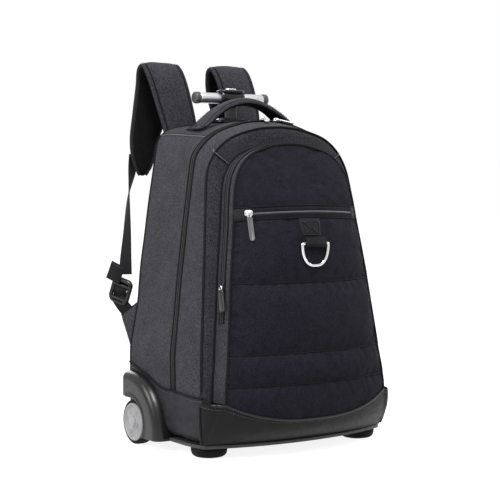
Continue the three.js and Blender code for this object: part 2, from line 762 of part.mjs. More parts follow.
// Ring turned about X from a closed profile of radius and x.
function turned(rows, segments) {
  const profile = rows.map(([radius, x]) => new THREE.Vector2(radius, x));
  return new THREE.LatheGeometry(profile, segments).rotateZ(-Math.PI / 2);
}

function tyre() {
  const w = wheelWidth / 2;
  const r = wheelRadius;
  const inside = hubRadius + 0.5;
  return turned([
    [inside, -w], [r - 2, -w], [r, -w + 3.5], [r, w - 3.5], [r - 2, w], [inside, w], [inside, -w],
  ], 24);
}

// Hub with a raised rim, a dished face and a central cap, bored for its axle.
function hub() {
  const w = wheelWidth / 2;
  const bore = axleRadius + gap;
  const rows = [
    [bore, -w + 1], [hubRadius, -w + 1], [hubRadius, w + 0.6], [hubRadius - 3, w + 1.4],
    [hubRadius - 5, w - 0.6], [14, w - 0.6], [12, w + 0.8], [bore, w + 0.8], [bore, -w + 1],
  ];
  return turned(rows, 24);
}

// Pin with a round head that holds the wheel against the housing's inner wall.
function axle() {
  const start = fenderInside + fenderWall + gap - wheelSpread;
  const end = wheelWidth / 2 + 1.4;
  const rows = [
    [0, start], [axleRadius, start], [axleRadius, end], [9, end], [7.5, end + 2.2], [0, end + 2.6],
  ];
  return turned(rows, 14);
}

// Closed loop of a rounded rectangle, counter-clockwise.
function roundedLoop(width, depth, corner, arcSteps = 3) {
  const points = [];
  const centres = [[1, 1], [-1, 1], [-1, -1], [1, -1]];
  centres.forEach(([sx, sy], quarter) => {
    for (let k = 0; k <= arcSteps; k += 1) {
      const angle = (quarter + k / arcSteps) * (Math.PI / 2);
      points.push(new THREE.Vector2(
        sx * (width / 2 - corner) + Math.cos(angle) * corner,
        sy * (depth / 2 - corner) + Math.sin(angle) * corner,
      ));
    }
  });
  return points;
}

// Upright tube of rounded rectangular section, open at both ends.
function tube({ width, depth }, length) {
  const shape = new THREE.Shape(roundedLoop(width, depth, tubeCorner));
  const bore = roundedLoop(width - 2 * tubeWall, depth - 2 * tubeWall, tubeCorner - tubeWall);
  shape.holes.push(new THREE.Path(bore));
  return new THREE.ExtrudeGeometry(shape, { depth: length, bevelEnabled: false });
}

// Plate with its two edges bevelled, standing on z = -bevel.
const bevelled = (shape, thick, bevel) => new THREE.ExtrudeGeometry(shape, {
  depth: thick - 2 * bevel,
  bevelEnabled: true,
  bevelThickness: bevel,
  bevelSize: bevel,
  bevelOffset: -bevel,
  bevelSegments: 1,
});

const middleTube = {
  width: innerTube.width + 2 * (tubeGap + tubeWall),
  depth: innerTube.depth + 2 * (tubeGap + tubeWall),
};
const outerTube = {
  width: middleTube.width + 2 * (tubeGap + tubeWall),
  depth: middleTube.depth + 2 * (tubeGap + tubeWall),
};
const sleeveLow = baseZ + shellWall + 1;
const sleeveHigh = crownZ - shellWall - 1;
const bezelLow = crownZ + 0.6;
const middleHigh = bezelLow + bezelThick + 1;
const innerHigh = gripHeight - gripRadius - 2 - gap;

// Crown plate of the trolley with a slot for the poles.
function bezel() {
  const slotWidth = middleTube.width + 2 * tubeGap;
  const slotDepth = middleTube.depth + 2 * tubeGap;
  const shape = new THREE.Shape(roundedLoop(bezelWidth, bezelDepth, 12, 4));
  shape.holes.push(new THREE.Path(roundedLoop(slotWidth, slotDepth, tubeCorner)));
  return bevelled(shape, bezelThick, 1);
}

// Middle of the grip: a block between the two bars with a wider brow over them.
const housingLow = gripHeight - gripRadius;
const housingRows = [
  { up: -2, width: 26, depth: 16 }, { up: 1.5, width: housingWidth, depth: housingDepth - 2 },
  { up: 2 * gripRadius + gap, width: housingWidth, depth: housingDepth },
  { up: 2 * gripRadius + gap + 0.3, width: housingBrow, depth: housingDepth },
  { up: 2 * gripRadius + 3.5, width: housingBrow, depth: housingDepth - 1 },
  { up: 2 * gripRadius + 5.5, width: housingBrow - 9, depth: housingDepth - 7 },
];
const housingTop = housingLow + housingRows[housingRows.length - 1].up;

function gripHousing() {
  const block = skinRings(housingRows.map((row) => roundedLoop(row.width, row.depth, 5, 2)
    .map((p) => new THREE.Vector3(p.x, p.y, row.up))));
  const recessDepth = buttonTravel + 4.2;
  const recess = plate(
    roundedLoop(buttonLength + 2 * gap, buttonWidth + 2 * gap, 3),
    housingTop - housingLow - recessDepth, housingTop - housingLow + 5,
  );
  return toGeometry(toSolid(block).subtract(toSolid(recess)));
}

const releaseButton = () => plate(roundedLoop(buttonLength, buttonWidth, 3), -3.2, buttonRise);

function gripBar() {
  const start = housingWidth / 2 + gap;
  const end = gripLength / 2 - gripCapLength - gap;
  const rows = [
    [0, start], [gripRadius - 0.8, start], [gripRadius, start + 1], [gripRadius, end], [0, end],
  ];
  return turned(rows, 16);
}

function gripCap() {
  const start = gripLength / 2 - gripCapLength;
  const end = gripLength / 2;
  const rows = [
    [0, start], [gripRadius + 0.5, start], [gripRadius + 0.9, start + 2], [gripRadius + 0.9, end - 3],
    [gripRadius - 1.6, end - 0.6], [0, end],
  ];
  return turned(rows, 16);
}

// Flat ribbon or pad through stations; each has a middle, a width heading and a section.
function ribbon(stations, section) {
  const middles = stations.map((s) => new THREE.Vector3(s.x, s.y, s.z));
  const curve = new THREE.CatmullRomCurve3(middles, false, 'centripetal');
  const last = stations.length - 1;
  const rings = stations.map((s, i) => {
    const run = curve.getTangent(i / last);
    const heading = THREE.MathUtils.degToRad(s.turn ?? 0);
    const wide = new THREE.Vector3(Math.cos(heading), Math.sin(heading), 0);
    wide.addScaledVector(run, -wide.dot(run)).normalize();
    const thick = new THREE.Vector3().crossVectors(run, wide).normalize();
    return section(s).map(([a, b]) => new THREE.Vector3(s.x, s.y, s.z)
      .addScaledVector(wide, a).addScaledVector(thick, b));
  });
  return skinRings(rings);
}

// Padded strap section: full in the middle, thin at the bound edges.
function padSection(width, thick) {
  const rows = [
    [0.5, 0.2], [0.42, 0.44], [0, 0.5], [-0.42, 0.44], [-0.5, 0.2],
    [-0.5, -0.2], [-0.42, -0.44], [0, -0.5], [0.42, -0.44], [0.5, -0.2],
  ];
  return rows.map(([a, b]) => [a * width, b * thick]);
}
const flatSection = (width, thick) => [[0.5, 0.5], [-0.5, 0.5], [-0.5, -0.5], [0.5, -0.5]]
  .map(([a, b]) => [a * width, b * thick]);

// Stations between the rows of a table, so that a ribbon bends smoothly.
function refine(rows, steps) {
  const keys = Object.keys(rows[0]);
  const last = rows.length - 1;
  return Array.from({ length: steps + 1 }, (unused, s) => {
    const at = (s / steps) * last;
    const i = Math.min(Math.floor(at), last - 1);
    const t = at - i;
    const station = {};
    keys.forEach((key) => {
      const p0 = rows[Math.max(i - 1, 0)][key];
      const p1 = rows[i][key];
      const p2 = rows[i + 1][key];
      const p3 = rows[Math.min(i + 2, last)][key];
      station[key] = 0.5 * (2 * p1 + (p2 - p0) * t + (2 * p0 - 5 * p1 + 4 * p2 - p3) * t * t
        + (3 * p1 - p0 - 3 * p2 + p3) * t ** 3);
    });
    return station;
  });
}

const strapStations = (rows, steps) => refine(rows, steps).map((row) => ({
  ...row, x: row.out * bodyHalfWidth, y: rearDepth + row.back * strapReach, z: heightOf(row.up),
}));
const shoulderStrap = (rows) => ribbon(
  strapStations(rows, 20), (s) => padSection(s.width * strapWidth, s.thick * strapThick),
);
const webbing = (rows) => ribbon(
  strapStations(rows, 16), () => flatSection(webbingWidth, webbingThick),
);

// Height of the crown at a place on the rear compartment.
function crownAt(x, y) {
  const share = THREE.MathUtils.clamp(y / rearDepth, 0, 1);
  const ring = zipLoop.map((p, i) => p.clone().lerp(rearLoop[i], share))
    .filter((p) => p.x >= 0 && p.z > middleZ);
  const i = ring.findIndex((p) => p.x <= Math.abs(x));
  if (i < 1) return ring[i < 0 ? ring.length - 1 : 0].z;
  const a = ring[i - 1];
  const b = ring[i];
  return lerp(a.z, b.z, (a.x - Math.abs(x)) / (a.x - b.x));
}

// Carry handle: a padded arch across the crown, with flat ends sewn down beside it.
const handleRows = [
  { reach: 1.28, rise: 0.04, thick: 0.28 }, { reach: 1.12, rise: 0.05, thick: 0.4 },
  { reach: 1.0, rise: 0.1, thick: 0.75 }, { reach: 0.82, rise: 0.36, thick: 1 },
  { reach: 0.6, rise: 0.66, thick: 1 }, { reach: 0.3, rise: 0.92, thick: 1 }, { reach: 0, rise: 1, thick: 1 },
];

function carryHandle() {
  const half = handleRows.map((row) => ({ ...row, reach: -row.reach }));
  const rows = [...half, ...handleRows.slice(0, -1).reverse()];
  const stations = rows.map((row) => {
    const x = row.reach * handleReach;
    const thick = row.thick * handleThick;
    const z = crownAt(x, handleBack) + thick / 2 + 1.6 + row.rise * handleRise;
    return { x, y: handleBack, z, thick, turn: 90 };
  });
  return ribbon(refine(stations, 20), (s) => padSection(handleWidth, s.thick));
}

// Ladder-lock buckle: a frame with two slots.
function buckle() {
  const shape = new THREE.Shape(roundedLoop(buckleWidth, buckleHeight, 5, 3));
  const slotWidth = webbingWidth + 2;
  for (const side of [1, -1]) {
    const hole = roundedLoop(slotWidth, buckleHeight * 0.3, 1.5, 1)
      .map((p) => new THREE.Vector2(p.x, p.y + (side * buckleHeight) / 4));
    shape.holes.push(new THREE.Path(hole));
  }
  const geometry = bevelled(shape, buckleThick, 1);
  geometry.translate(0, 0, -(buckleThick - 2) / 2);
  return geometry.rotateX(Math.PI / 2);
}

// D-shaped ring: a straight bar on top and a round bow below, hanging down from its bar.
function dRing() {
  const half = ringWidth / 2 - ringWire;
  const points = [];
  for (let k = 0; k <= 14; k += 1) {
    const angle = Math.PI * (k / 14);
    const low = (ringDrop - ringWire) * Math.sin(angle) ** 0.9;
    points.push(new THREE.Vector3(half * Math.cos(angle), 0, -low));
  }
  for (let k = 1; k < 5; k += 1) points.push(new THREE.Vector3(lerp(-half, half, k / 5), 0, 0));
  const rings = points.map((p, i) => {
    const before = points[(i + points.length - 1) % points.length];
    const after = points[(i + 1) % points.length];
    const run = after.clone().sub(before).normalize();
    const out = new THREE.Vector3(0, 1, 0);
    const side = new THREE.Vector3().crossVectors(run, out);
    return Array.from({ length: 6 }, (unused, k) => {
      const angle = (k / 6) * Math.PI * 2;
      return p.clone()
        .addScaledVector(out, Math.cos(angle) * ringWire)
        .addScaledVector(side, Math.sin(angle) * ringWire);
    });
  });
  return skinRings(rings, false);
}

const materials = {
  melange: { color: 0x3d3e43, roughness: 0.95, metalness: 0 },
  panel: { color: 0x232428, roughness: 0.9, metalness: 0 },
  leather: { color: 0x1d1e21, roughness: 0.45, metalness: 0 },
  trim: { color: 0x111214, roughness: 0.7, metalness: 0 },
  plastic: { color: 0x1a1b1d, roughness: 0.5, metalness: 0 },
  rubber: { color: 0x121214, roughness: 0.85, metalness: 0 },
  hub: { color: 0xb9bbbe, roughness: 0.4, metalness: 0.3 },
  metal: { color: 0xcfd1d4, roughness: 0.25, metalness: 1 },
};

const model = new THREE.Group();
function add(name, geometry, material, x = 0, y = 0, z = 0) {
  const mesh = new THREE.Mesh(geometry, new THREE.MeshStandardMaterial(materials[material]));
  mesh.name = name;
  mesh.position.set(x, y, z);
  model.add(mesh);
  return mesh;
}

// Slider with a bridge, and the plain pull tab that hangs from it.
function zipSlider() {
  const shape = new THREE.Shape(roundedLoop(sliderWidth, sliderLength, 3, 2));
  return bevelled(shape, 3.6, 0.8).rotateX(Math.PI / 2);
}

function pullTab() {
  const shape = new THREE.Shape(roundedLoop(pullerWidth, pullerLength, 2.5, 2));
  const hole = roundedLoop(pullerWidth * 0.5, 3, 1.2, 1)
    .map((p) => new THREE.Vector2(p.x, p.y + pullerLength / 2 - 3.4));
  shape.holes.push(new THREE.Path(hole));
  const tab = new THREE.ExtrudeGeometry(shape, { depth: pullerThick, bevelEnabled: false });
  tab.translate(0, -pullerLength / 2, 0);
  return tab.rotateX(Math.PI / 2);
}

// Leather loop that holds the D-ring's bar, with a tail sewn under the patch.
function ringLoop() {
  const inside = ringWire + 0.6;
  const outside = inside + 1.6;
  const shape = new THREE.Shape();
  shape.moveTo(-1, outside + 6);
  shape.lineTo(-1, Math.sqrt(outside ** 2 - 1));
  const start = Math.acos(-1 / outside);
  shape.absarc(0, 0, outside, start, start + Math.PI * 2 - 0.75, false);
  shape.lineTo(outside * Math.cos(start - 0.75), outside + 6);
  const hole = new THREE.Path();
  hole.absarc(0, 0, inside, 0, Math.PI * 2, true);
  shape.holes.push(hole);
  const length = ringWidth * 0.6;
  const geometry = new THREE.ExtrudeGeometry(shape, {
    depth: length, bevelEnabled: false, curveSegments: 7,
  });
  geometry.translate(0, 0, -length / 2);
  return geometry.rotateX(Math.PI / 2).rotateZ(Math.PI / 2);
}

// Three-cornered tab of cloth from its corner points, with a thickness across its plane.
function clothTab(corners, thick) {
  const [a, b, c] = corners;
  const across = new THREE.Vector3().crossVectors(b.clone().sub(a), c.clone().sub(a)).normalize();
  const side = (shift) => corners.map((p) => p.clone().addScaledVector(across, shift));
  return skinRings([side(-thick / 2), side(thick / 2)]);
}

const wing = { reach: 32, heading: 123.4, topUp: 0.413, lowUp: 0.25, tipUp: 0.365 };
const buckleSpot = { proud: 4, back: 23, up: 0.443, tilt: 18 };
const tailSpot = { proud: 12, back: 23, up: 0.508, tilt: 24 };

function wingTab() {
  const half = (z) => {
    const ring = rearLoop.filter((p) => p.x > 0 && p.z < middleZ + 60);
    const i = ring.findIndex((p) => p.z >= z);
    return lerp(ring[i - 1].x, ring[i].x, (z - ring[i - 1].z) / (ring[i].z - ring[i - 1].z));
  };
  const rootY = rearDepth + 2.4;
  const heading = THREE.MathUtils.degToRad(wing.heading);
  const root = (up) => new THREE.Vector3(4 - half(heightOf(up)), rootY, heightOf(up));
  const top = root(wing.topUp);
  const low = root(wing.lowUp);
  const tip = new THREE.Vector3(
    top.x + wing.reach * Math.cos(heading), rootY + wing.reach * Math.sin(heading), heightOf(wing.tipUp),
  );
  const tipLow = tip.clone().add(new THREE.Vector3(2, -1.5, -7));
  return clothTab([top, low, tipLow, tip], wingThick);
}

// The body and its openings.
const slotRoom = 1.2;
const poleSlot = box(middleTube.width + 2 * slotRoom, middleTube.depth + 2 * slotRoom, 60);
poleSlot.translate(0, poleBack, crownZ);
const housingGap = 0.6;
const housingRoom = housingBlock(-housingGap, fenderInside - housingGap, bodyHalfWidth + 60);
const rearBody = toSolid(rearShell()).subtract(toSolid(poleSlot))
  .subtract(toSolid(housingRoom)).subtract(toSolid(mirrored(housingRoom)));
add('rear_shell', toGeometry(rearBody), 'melange');
add('front_shell', frontShell(), 'melange');

const zipStart = zipLoop.findIndex((p) => shareOf(p.z) > zipEnd);
const zipBand = loopBand(zipLoop, zipStart, zipLoop.length - zipStart, zipY, zipTapeWidth, -0.5, 1.2);
add('main_zip', zipBand, 'trim');

const pipeStart = frontLoop.findIndex((p) => shareOf(p.z) > 0.16);
const pipeRun = frontLoop.slice(pipeStart, frontLoop.length - pipeStart + 1).map((p) => new THREE.Vector3(
  p.x, frontY(p.z) + 0.4, p.z,
));
add('front_piping', cordAlong(pipeRun, 2, 6, 32), 'trim');

add('front_pocket', pocketShell(), 'panel');
add('pocket_zip', pocketZip(), 'trim');
const panelZipZ = heightOf(panelZip.up);
const panelZipLow = panelZipZ - panelZip.half;
const panelBand = faceBand(
  -panelZip.end, panelZip.end, 16, panelZipLow, panelZipZ + panelZip.half, zipTapeThick, panelZip.rise,
);
add('panel_zip', panelBand, 'trim');

const patchTop = panelZipLow + panelZip.rise / 2;
const patchLow = patchTop - patchHeight;
const patchAcross = patchWidth / 2 / pocketHalf(patchTop - patchHeight / 2);
add('ring_patch', faceBand(-patchAcross, patchAcross, 4, patchLow, patchTop, patchThick), 'leather');
const ringZ = patchLow - ringHang;
const ringY = faceTop(0, ringZ) - ringStand;
add('ring_loop', ringLoop(), 'leather', 0, ringY, ringZ);
add('d_ring', dRing(), 'metal', 0, ringY, ringZ);

const panelSliderX = panelSliderOut * bodyHalfWidth;
const faceAt = (x) => faceTop(x / pocketHalf(panelZipZ), panelZipZ);
const panelSliderY = faceAt(panelSliderX) - zipTapeThick - 1.9;
const panelSliderTurn = Math.atan2(
  faceAt(panelSliderX + sliderLength / 2) - faceAt(panelSliderX - sliderLength / 2), sliderLength,
);
const panelSlider = zipSlider().rotateY(Math.PI / 2).rotateZ(panelSliderTurn);
add('panel_zip_slider', panelSlider, 'metal', panelSliderX, panelSliderY, panelZipZ + 1);
const panelPull = pullTab().rotateZ(panelSliderTurn);
add('panel_zip_pull', panelPull, 'metal', panelSliderX, panelSliderY - 3.8, panelZipZ - 5);

const gussetSpotZ = heightOf(gussetSliderUp);
const gussetX = -(gussetHalf(gussetSpotZ) + zipLift + zipTapeThick + 1.4);
const gussetY = lerp(frontY(gussetSpotZ), pocketEdgeY(gussetSpotZ), 0.5);
add('pocket_zip_slider', zipSlider().rotateZ(-Math.PI / 2), 'metal', gussetX, gussetY, gussetSpotZ + 2);
add('pocket_zip_pull', pullTab().rotateZ(-Math.PI / 4), 'metal', gussetX - 5, gussetY - 3, gussetSpotZ - 6);

for (const [name, x] of [['left', 4], ['right', 26]]) {
  const z = crownAt(x, 0) + 2.3;
  const slider = zipSlider().rotateX(-Math.PI / 2).rotateZ(Math.PI / 2);
  add(`main_zip_slider_${name}`, slider, 'metal', x, zipY(crownZ), z);
  const tab = pullTab().rotateX(-Math.PI / 2).rotateZ(name === 'left' ? 0.5 : 1.1);
  add(`main_zip_pull_${name}`, tab, 'metal', x + 1, zipY(crownZ) - 3, z + 4.4);
}

add('leather_base', leatherBase(), 'leather');
add('base_tray', baseTray(), 'plastic');

for (const [side, sign] of [['left', -1], ['right', 1]]) {
  add(`foot_${side}`, foot(), 'rubber', sign * footSpread, -footForward, 0);
  const onSide = (geometry) => (sign > 0 ? geometry : mirrored(geometry));
  add(`wheel_housing_${side}`, onSide(fender()), 'plastic');
  add(`tyre_${side}`, tyre(), 'rubber', sign * wheelSpread, axleBack, wheelRadius);
  add(`hub_${side}`, onSide(hub()), 'hub', sign * wheelSpread, axleBack, wheelRadius);
  add(`axle_${side}`, onSide(axle()), 'metal', sign * wheelSpread, axleBack, wheelRadius);
}

// Trolley: a sleeve in the bag, two sliding stages and the T grip.
add('pole_sleeve', tube(outerTube, sleeveHigh - sleeveLow), 'metal', 0, poleBack, sleeveLow);
add('pole_bezel', bezel(), 'plastic', 0, poleBack, bezelLow + 1);
const middleLow = sleeveLow + 4;
add('pole_middle', tube(middleTube, middleHigh - middleLow), 'metal', 0, poleBack, middleLow);
const innerLow = middleLow + 4;
add('pole_inner', tube(innerTube, innerHigh - innerLow), 'metal', 0, poleBack, innerLow);
add('grip_housing', gripHousing(), 'plastic', 0, poleBack, housingLow);
add('grip_button', releaseButton(), 'trim', 0, poleBack, housingTop);
for (const [side, sign] of [['left', -1], ['right', 1]]) {
  const onSide = (geometry) => (sign > 0 ? geometry : mirrored(geometry));
  add(`grip_bar_${side}`, onSide(gripBar()), 'metal', 0, poleBack, gripHeight);
  add(`grip_cap_${side}`, onSide(gripCap()), 'plastic', 0, poleBack, gripHeight);
}

add('carry_handle', carryHandle(), 'melange');
add('shoulder_strap_left', shoulderStrap(leftStrapRows), 'melange');
add('shoulder_strap_right', shoulderStrap(rightStrapRows), 'melange');
add('webbing_left', webbing(leftWebbingRows), 'trim');
add('webbing_right', webbing(rightWebbingRows), 'trim');
for (const [side, sign] of [['left', -1], ['right', 1]]) {
  add(`wing_${side}`, sign < 0 ? wingTab() : mirrored(wingTab()), 'melange');
  const frame = buckle().rotateY(THREE.MathUtils.degToRad(-buckleSpot.tilt));
  frame.rotateZ(THREE.MathUtils.degToRad(wing.heading));
  const tail = box(webbingWidth, webbingThick, tailLength).rotateY(THREE.MathUtils.degToRad(-tailSpot.tilt));
  tail.rotateZ(THREE.MathUtils.degToRad(wing.heading));
  const place = (spot) => [
    sign * (bodyHalfWidth + spot.proud), rearDepth + spot.back, heightOf(spot.up),
  ];
  add(`buckle_${side}`, sign < 0 ? frame : mirrored(frame), 'plastic', ...place(buckleSpot));
  add(`webbing_tail_${side}`, sign < 0 ? tail : mirrored(tail), 'trim', ...place(tailSpot));
}

// The origin is the middle of the footprint's box on the floor.
const bounds = new THREE.Box3().setFromObject(model);
const middle = bounds.getCenter(new THREE.Vector3());
model.position.set(-middle.x, -middle.y, -bounds.min.z);
const part = new THREE.Group();
part.add(model);

export default part;
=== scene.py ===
import bmesh
import bpy
import math
import numpy as np
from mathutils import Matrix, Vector


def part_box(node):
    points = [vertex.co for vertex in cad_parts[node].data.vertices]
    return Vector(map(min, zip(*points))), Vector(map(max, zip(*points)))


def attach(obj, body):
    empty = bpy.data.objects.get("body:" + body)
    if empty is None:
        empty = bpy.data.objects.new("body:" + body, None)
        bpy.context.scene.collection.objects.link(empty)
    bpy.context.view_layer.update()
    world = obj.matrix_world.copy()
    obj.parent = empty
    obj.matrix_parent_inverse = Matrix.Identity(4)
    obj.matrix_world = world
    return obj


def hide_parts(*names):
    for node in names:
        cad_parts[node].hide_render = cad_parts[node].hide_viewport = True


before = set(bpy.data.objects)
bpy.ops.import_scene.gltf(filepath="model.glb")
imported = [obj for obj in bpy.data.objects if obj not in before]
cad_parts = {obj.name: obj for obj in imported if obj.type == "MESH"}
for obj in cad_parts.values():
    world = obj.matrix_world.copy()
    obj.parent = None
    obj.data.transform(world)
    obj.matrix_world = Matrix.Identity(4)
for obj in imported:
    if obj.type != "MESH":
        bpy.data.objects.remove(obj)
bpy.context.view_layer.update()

# All shapes below are in millimetres in the part's drawing frame: the zip's plane is y = 0.
AXLE_BACK = 86.0
tyre_low, tyre_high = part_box("tyre_left")
SHIFT = (tyre_low[1] + tyre_high[1]) * 500 - AXLE_BACK


def to_scene(points):
    return (np.asarray(points, float).reshape(-1, 3) + (0.0, SHIFT, 0.0)) * 0.001


# Camera, fitted to the photograph: focal length and picture width in pixels, then place and direction
SENSOR, PICTURE, FOCAL = 36, 500, 1373.9
HEADING, DROP = 34, 2.89
cam_data = bpy.data.cameras.new("camera")
cam_data.sensor_width = SENSOR
cam_data.lens = FOCAL / PICTURE * SENSOR
camera = bpy.data.objects.new("camera", cam_data)
bpy.context.scene.collection.objects.link(camera)
camera.location = (-1.2053, -1.7461 + SHIFT * 0.001, 0.4033)
heading, drop = math.radians(HEADING), math.radians(DROP)
look = Vector((math.sin(heading) * math.cos(drop), math.cos(heading) * math.cos(drop), -math.sin(drop)))
camera.rotation_mode = "QUATERNION"
camera.rotation_quaternion = look.to_track_quat("-Z", "Y")
bpy.context.scene.camera = camera

# Body sizes, and its outlines at the rear edge, the zip and the front edge: shares of half width and height
HALF_WIDTH, HEIGHT, REAR, GUSSET, BASE = 172.0, 474.0, 119.0, 92.0, 21.0
CROWN = BASE + HEIGHT
POCKET_HALF, POCKET_DEPTH, POCKET_CROWN = 144.0, 28.0, 31.0

REAR_OUTLINE = [
    (0.0, 0.0), (0.5, 0.0), (0.9, 0.002), (0.985, 0.035), (1.0, 0.13), (1.0, 0.25), (0.965, 0.33),
    (0.924, 0.405), (0.89, 0.53), (0.855, 0.612), (0.802, 0.743), (0.756, 0.842), (0.727, 0.907),
    (0.703, 0.943), (0.651, 0.962), (0.581, 0.977), (0.4, 0.988), (0.2, 0.997), (0.0, 1.0),
]
ZIP_OUTLINE = [
    (0.0, 0.0), (0.5, 0.0), (0.9, 0.002), (0.985, 0.035), (0.997, 0.13), (0.985, 0.25), (0.95, 0.33),
    (0.915, 0.405), (0.875, 0.53), (0.85, 0.612), (0.798, 0.743), (0.756, 0.842), (0.733, 0.886),
    (0.69, 0.908), (0.61, 0.937), (0.52, 0.958), (0.35, 0.981), (0.18, 0.995), (0.0, 1.0),
]
FRONT_OUTLINE = [
    (0.0, 0.0), (0.5, 0.0), (0.87, 0.002), (0.965, 0.03), (0.975, 0.1), (0.955, 0.2), (0.93, 0.295),
    (0.905, 0.37), (0.87, 0.48), (0.834, 0.595), (0.785, 0.747), (0.756, 0.823), (0.735, 0.85),
    (0.7, 0.875), (0.64, 0.905), (0.51, 0.94), (0.35, 0.96), (0.18, 0.973), (0.0, 0.977),
]
# Depth by height: the share of the height, then where the zip and the front lie in shares of the gusset
DEPTH_ROWS = np.array([
    (0.0, -0.15, -0.83), (0.04, -0.14, -0.9), (0.15, -0.12, -0.9), (0.29, -0.04, -0.81),
    (0.45, 0.03, -0.7), (0.6, 0.02, -0.6), (0.75, 0.03, -0.49), (0.87, 0.04, -0.41), (1.0, 0.04, -0.42),
])
# Pocket by height: the share of the height, then shares of its half width, depth and crown
POCKET_ROWS = np.array([
    (0.128, 1.004, 1.0, 0.78), (0.156, 0.998, 1.0, 0.88), (0.184, 0.99, 1.0, 0.92),
    (0.2, 0.985, 1.02, 0.94), (0.232, 0.968, 1.04, 0.97), (0.264, 0.953, 1.05, 0.98),
    (0.279, 0.948, 1.06, 0.99), (0.297, 0.942, 1.07, 1.0), (0.385, 0.906, 1.1, 1.02),
    (0.475, 0.87, 1.12, 1.03), (0.495, 0.862, 1.12, 1.03), (0.515, 0.855, 1.13, 1.03),
    (0.59, 0.82, 1.14, 1.04), (0.68, 0.776, 1.15, 1.0), (0.702, 0.768, 1.15, 0.97),
    (0.75, 0.748, 1.15, 0.8), (0.805, 0.71, 1.15, 0.55), (0.846, 0.642, 1.14, 0.35),
    (0.876, 0.55, 1.12, 0.2), (0.897, 0.43, 1.1, 0.1), (0.912, 0.26, 1.08, 0.04),
])
SEAM_SAG, SEAM_POWER = 28.0, 2.6
PANEL_ZIP_Z = BASE + 0.702 * HEIGHT
PANEL_ZIP_LOW, PANEL_ZIP_HIGH = PANEL_ZIP_Z - 9, PANEL_ZIP_Z + 9
POLE_BACK, WHEEL_RADIUS, ARCH_RADIUS = 96.0, 34.4, 36.6
# Roundings of the rear and the front edge, and rise of the panel's zip in its middle
REAR_ROUND, FRONT_ROUND, ARCH_RISE = 4.5, 5, 4
# Heights of the quilting seams above the skirt's own
QUILT_1, QUILT_2, QUILT_3 = 107.5, 152.5, 254.5
SIDES = (("left", -1), ("right", 1))


def column(rows, key, up):
    up = np.clip(np.asarray(up, float), rows[0, 0], rows[-1, 0])
    last = len(rows) - 1
    i = np.clip(np.searchsorted(rows[:, 0], up, "right") - 1, 0, last - 1)
    before, after = np.maximum(i - 1, 0), np.minimum(i + 2, last)
    span = rows[i + 1, 0] - rows[i, 0]
    t = (up - rows[i, 0]) / span
    slope_a = (rows[i + 1, key] - rows[before, key]) / (rows[i + 1, 0] - rows[before, 0]) * span
    slope_b = (rows[after, key] - rows[i, key]) / (rows[after, 0] - rows[i, 0]) * span
    return ((2 * t**3 - 3 * t**2 + 1) * rows[i, key] + (t**3 - 2 * t**2 + t) * slope_a
            + (3 * t**2 - 2 * t**3) * rows[i + 1, key] + (t**3 - t**2) * slope_b)


def share_of(z):
    return (np.asarray(z, float) - BASE) / HEIGHT


def zip_y(z):
    return column(DEPTH_ROWS, 1, share_of(z)) * GUSSET


def front_y(z):
    return column(DEPTH_ROWS, 2, share_of(z)) * GUSSET


def monotone(at, xs, ys):
    h = np.diff(xs)
    d = np.diff(ys) / h
    m = np.concatenate([[d[0]], np.zeros(len(d) - 1), [d[-1]]])
    for i in range(1, len(d)):
        if d[i - 1] * d[i] > 0:
            w1, w2 = 2 * h[i] + h[i - 1], h[i] + 2 * h[i - 1]
            m[i] = (w1 + w2) / (w1 / d[i - 1] + w2 / d[i])
    i = np.clip(np.searchsorted(xs, at, "right") - 1, 0, len(xs) - 2)
    t = (at - xs[i]) / h[i]
    return ((2 * t**3 - 3 * t**2 + 1) * ys[i] + (t**3 - 2 * t**2 + t) * h[i] * m[i]
            + (3 * t**2 - 2 * t**3) * ys[i + 1] + (t**3 - t**2) * h[i] * m[i + 1])


def half_points(table):
    return np.array([(out * HALF_WIDTH, BASE + up * HEIGHT) for out, up in table])


TABLES = {name: half_points(rows) for name, rows in
          (("rear", REAR_OUTLINE), ("zip", ZIP_OUTLINE), ("front", FRONT_OUTLINE))}
chords = sum(np.hypot(*np.diff(table, axis=0).T) for table in TABLES.values()) / 3
KNOTS = np.concatenate([[0], np.cumsum(chords)])
LOOP = 288


def smooth_loop(values, passes=3):
    for _ in range(passes):
        values = (np.roll(values, 1, 0) + 2 * values + np.roll(values, -1, 0)) / 4
    return values


def full_loop(table):
    xs = np.concatenate([[-KNOTS[1]], KNOTS, [2 * KNOTS[-1] - KNOTS[-2]]])
    at = np.linspace(0, KNOTS[-1], LOOP // 2 + 1)
    px = np.concatenate([[-table[1, 0]], table[:, 0], [-table[-2, 0]]])
    pz = np.concatenate([[table[1, 1]], table[:, 1], [table[-2, 1]]])
    x, z = monotone(at, xs, px), monotone(at, xs, pz)
    right = np.stack([x, z], 1)
    left = right[1:-1][::-1] * (-1, 1)
    return smooth_loop(np.concatenate([right, left]))


LOOPS = {name: full_loop(table) for name, table in TABLES.items()}
HALF = LOOP // 2 + 1


def ring(share, towards="rear"):
    """Body ring between the zip (0) and the rear or front edge (1): x, z and outward normals."""
    loop = LOOPS["zip"] + (LOOPS[towards] - LOOPS["zip"]) * share
    run = np.roll(loop, -1, 0) - np.roll(loop, 1, 0)
    out = np.stack([run[:, 1], -run[:, 0]], 1)
    out /= np.linalg.norm(out, axis=1)[:, None]
    return loop, out


def soft(points, seed, scale, octaves=3):
    """Smooth seeded unevenness, about -1 to 1, from sums of sines."""
    own = np.random.default_rng(seed)
    total = np.zeros(points.shape[:-1])
    for octave in range(octaves):
        for _ in range(4):
            direction = own.normal(size=3)
            direction /= np.linalg.norm(direction)
            wave = 2 * math.pi / (scale / 1.9**octave) * own.uniform(0.75, 1.25)
            total += np.sin(points @ direction * wave + own.uniform(0, 6.28)) / 1.8**octave
    return total / 4.2


